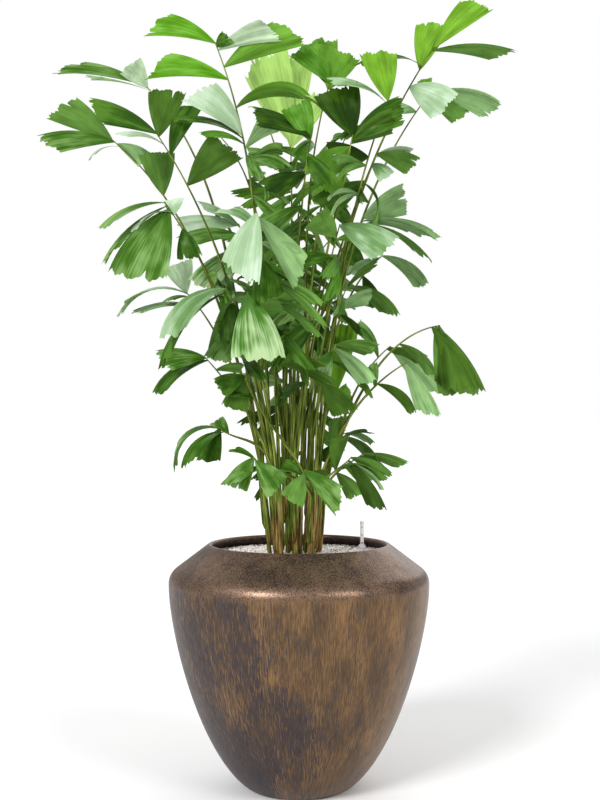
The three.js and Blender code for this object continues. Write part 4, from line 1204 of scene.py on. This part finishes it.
def build_grains(edge):
    """Loose grains in rows, on two pieces."""
    piles = {"gravel_left": Pile(), "gravel_right": Pile()}
    faces = capped_faces(GRAIN_RINGS - 1, GRAIN_SIDES)
    steps = int(edge / GRAIN_SPACING) + 1
    seed = 0
    for row in range(-steps, steps + 1):
        for column in range(-steps, steps + 1):
            seed += 1
            x = GRAIN_SPACING * (column + 0.5 * (row % 2) + GRAIN_SCATTER * (chance(seed, 77) - 0.5))
            y = GRAIN_SPACING * (GRAIN_ROW_SHARE * row + GRAIN_SCATTER * (chance(seed, 78) - 0.5))
            if hypot(x, y) > edge - GRAIN_WALL_GAP:
                continue
            z = FILL_HEIGHT + within(GRAIN_LIFT, seed, 79)
            pick = chance(seed, 80)
            look = next(index for index, (_, _, share) in enumerate(GRAVEL_COLOURS) if pick < share)
            piles["gravel_left" if x < 0 else "gravel_right"].add(grain(seed, [x, y, z]), faces, look)
    materials = [plain_material(f"gravel_{name}", screen(*colour), 0.75)
                 for name, colour, _ in GRAVEL_COLOURS]
    for name, pile in piles.items():
        pile.build(name, materials, "fill", ["gravel_fill"])


def build_gravel():
    """Loose grains on a bed of the same gravel, darker than the grains with painted shade of the gaps."""
    places, outs = pot_outline()
    wall = places - (POT_WALL + CLEARANCE) * outs
    edge = float(np.interp(FILL_HEIGHT, wall[-SLOPE_RINGS:, 1], wall[-SLOPE_RINGS:, 0]))
    build_grains(edge)
    floor = FLOOR_THICKNESS + CLEARANCE
    top = FILL_HEIGHT - GRAVEL_DIP
    sides = wall[(wall[:, 1] > floor + 2) & (wall[:, 1] < top)]
    profile = np.vstack([[0, floor], [FLOOR_RADIUS - CLEARANCE, floor], sides, [edge, top], [0, top]])
    bed = Pile()
    bed.add(*turned_body(profile, BED_SIDES))
    # The bed is darker than the grains: painted shade in the gaps between grains
    material = speckled_material("gravel_bed", 260, 2, 0.5, (0.35, screen(112, 98, 92)),
                                 (0.65, screen(196, 184, 174)), 0.9)
    bed.build("gravel_bed", [material], "fill", ["gravel_fill"], sharp=40)


def build_gauge():
    """The water gauge: a domed foot, a pale tube with a cap, and coloured marks down its front."""
    base = np.array([GAUGE_X, GAUGE_Y, FILL_HEIGHT + CLEARANCE])
    angles = np.radians([0, 8, 18, 28, 38, 48, 58, 66])
    dome = GAUGE_FOOT_RADIUS * np.column_stack([np.cos(angles), 0.95 * np.sin(angles)]) + [0, 0.5]
    dome_top = dome[-1, 1]
    tube_foot, cap = dome_top - 1.6, GAUGE_HEIGHT - 7
    bodies = [
        [[0, 0], [GAUGE_FOOT_RADIUS - 0.6, 0], *dome, [0, dome_top]],
        [[0, tube_foot], [GAUGE_RADIUS - 0.5, tube_foot], [GAUGE_RADIUS - 0.5, cap], [0, cap]],
        [[0, cap + 0.1], [GAUGE_RADIUS - 0.3, cap + 0.1], [GAUGE_RADIUS, cap + 0.5],
         [GAUGE_RADIUS, GAUGE_HEIGHT - 1.4], [GAUGE_RADIUS - 0.5, GAUGE_HEIGHT - 0.4],
         [GAUGE_RADIUS - 1.6, GAUGE_HEIGHT], [0, GAUGE_HEIGHT]],
    ]
    pile = Pile()
    for look, profile in enumerate(bodies):
        points, faces = turned_body(profile, GAUGE_SIDES)
        pile.add(points + base, faces, look)
    points, faces = turned_body([[0, 0], [2.0, 0], [2.0, 0.7], [1.6, 1.0], [0, 1.0]], MARK_SIDES)
    points = points @ np.array([[1, 0, 0], [0, 0, 1], [0, -1, 0]]) + base
    for height, look in GAUGE_MARKS:
        pile.add(points + [0, 0.9 - GAUGE_RADIUS, height], faces, look)
    materials = [plain_material(f"gauge_{name}", screen(*colour), roughness)
                 for name, colour, roughness in GAUGE_FINISHES]
    pile.build("gauge", materials, "gauge", ["water_gauge"], sharp=40)


def build_camera():
    camera = add_object("camera", bpy.data.cameras.new("camera"))
    camera.location = (EYE_ASIDE * MM, -EYE_DISTANCE * MM, EYE_HEIGHT * MM)
    camera.rotation_euler = (pi / 2 + atan(LEVEL_PIXELS / FOCAL_PIXELS), 0, 0)
    camera.data.sensor_width = SENSOR
    camera.data.lens = FOCAL_PIXELS / FRAME_PIXELS * SENSOR
    bpy.context.scene.camera = camera


def build_world():
    """A white surround that lights the object half as strongly as it looks."""
    world = bpy.data.worlds.new("studio")
    world.use_nodes = True
    tree = world.node_tree
    sky = tree.nodes["Background"]
    sky.inputs["Color"].default_value = (1, 1, 1, 1)
    level = tree.nodes.new("ShaderNodeMapRange")
    level.inputs["To Min"].default_value = 0.5
    tree.links.new(tree.nodes.new("ShaderNodeLightPath").outputs["Is Camera Ray"], level.inputs["Value"])
    tree.links.new(level.outputs[0], sky.inputs["Strength"])
    bpy.context.scene.world = world


def build_studio():
    bpy.context.scene.view_settings.view_transform = "Standard"
    build_world()
    for name, side, power, softness in LIGHTS:
        light = bpy.data.lights.new(name, "SUN")
        light.energy = power
        light.angle = radians(softness)
        add_object(name, light).rotation_euler = (-Vector(side)).to_track_quat("-Z", "Y").to_euler()
    mesh = bpy.data.meshes.new("floor")
    corners = [(x * FLOOR_REACH, y * FLOOR_REACH, 0) for x, y in ((-1, -1), (1, -1), (1, 1), (-1, 1))]
    mesh.from_pydata(corners, [], [(0, 1, 2, 3)])
    _, finish = new_material("floor")
    mesh.materials.append(finish({"Base Color": (0.98, 0.98, 0.98, 1), "Roughness": 0.9}))
    add_object("floor", mesh)


build_camera()
build_studio()
canes = [cane_curve(index) for index in range(CANE_COUNT)]
plans = grow_plans(canes)
build_pot()
build_gravel()
build_gauge()
build_canes(canes)
build_stalks(plans, canes)
build_leaves(plans)
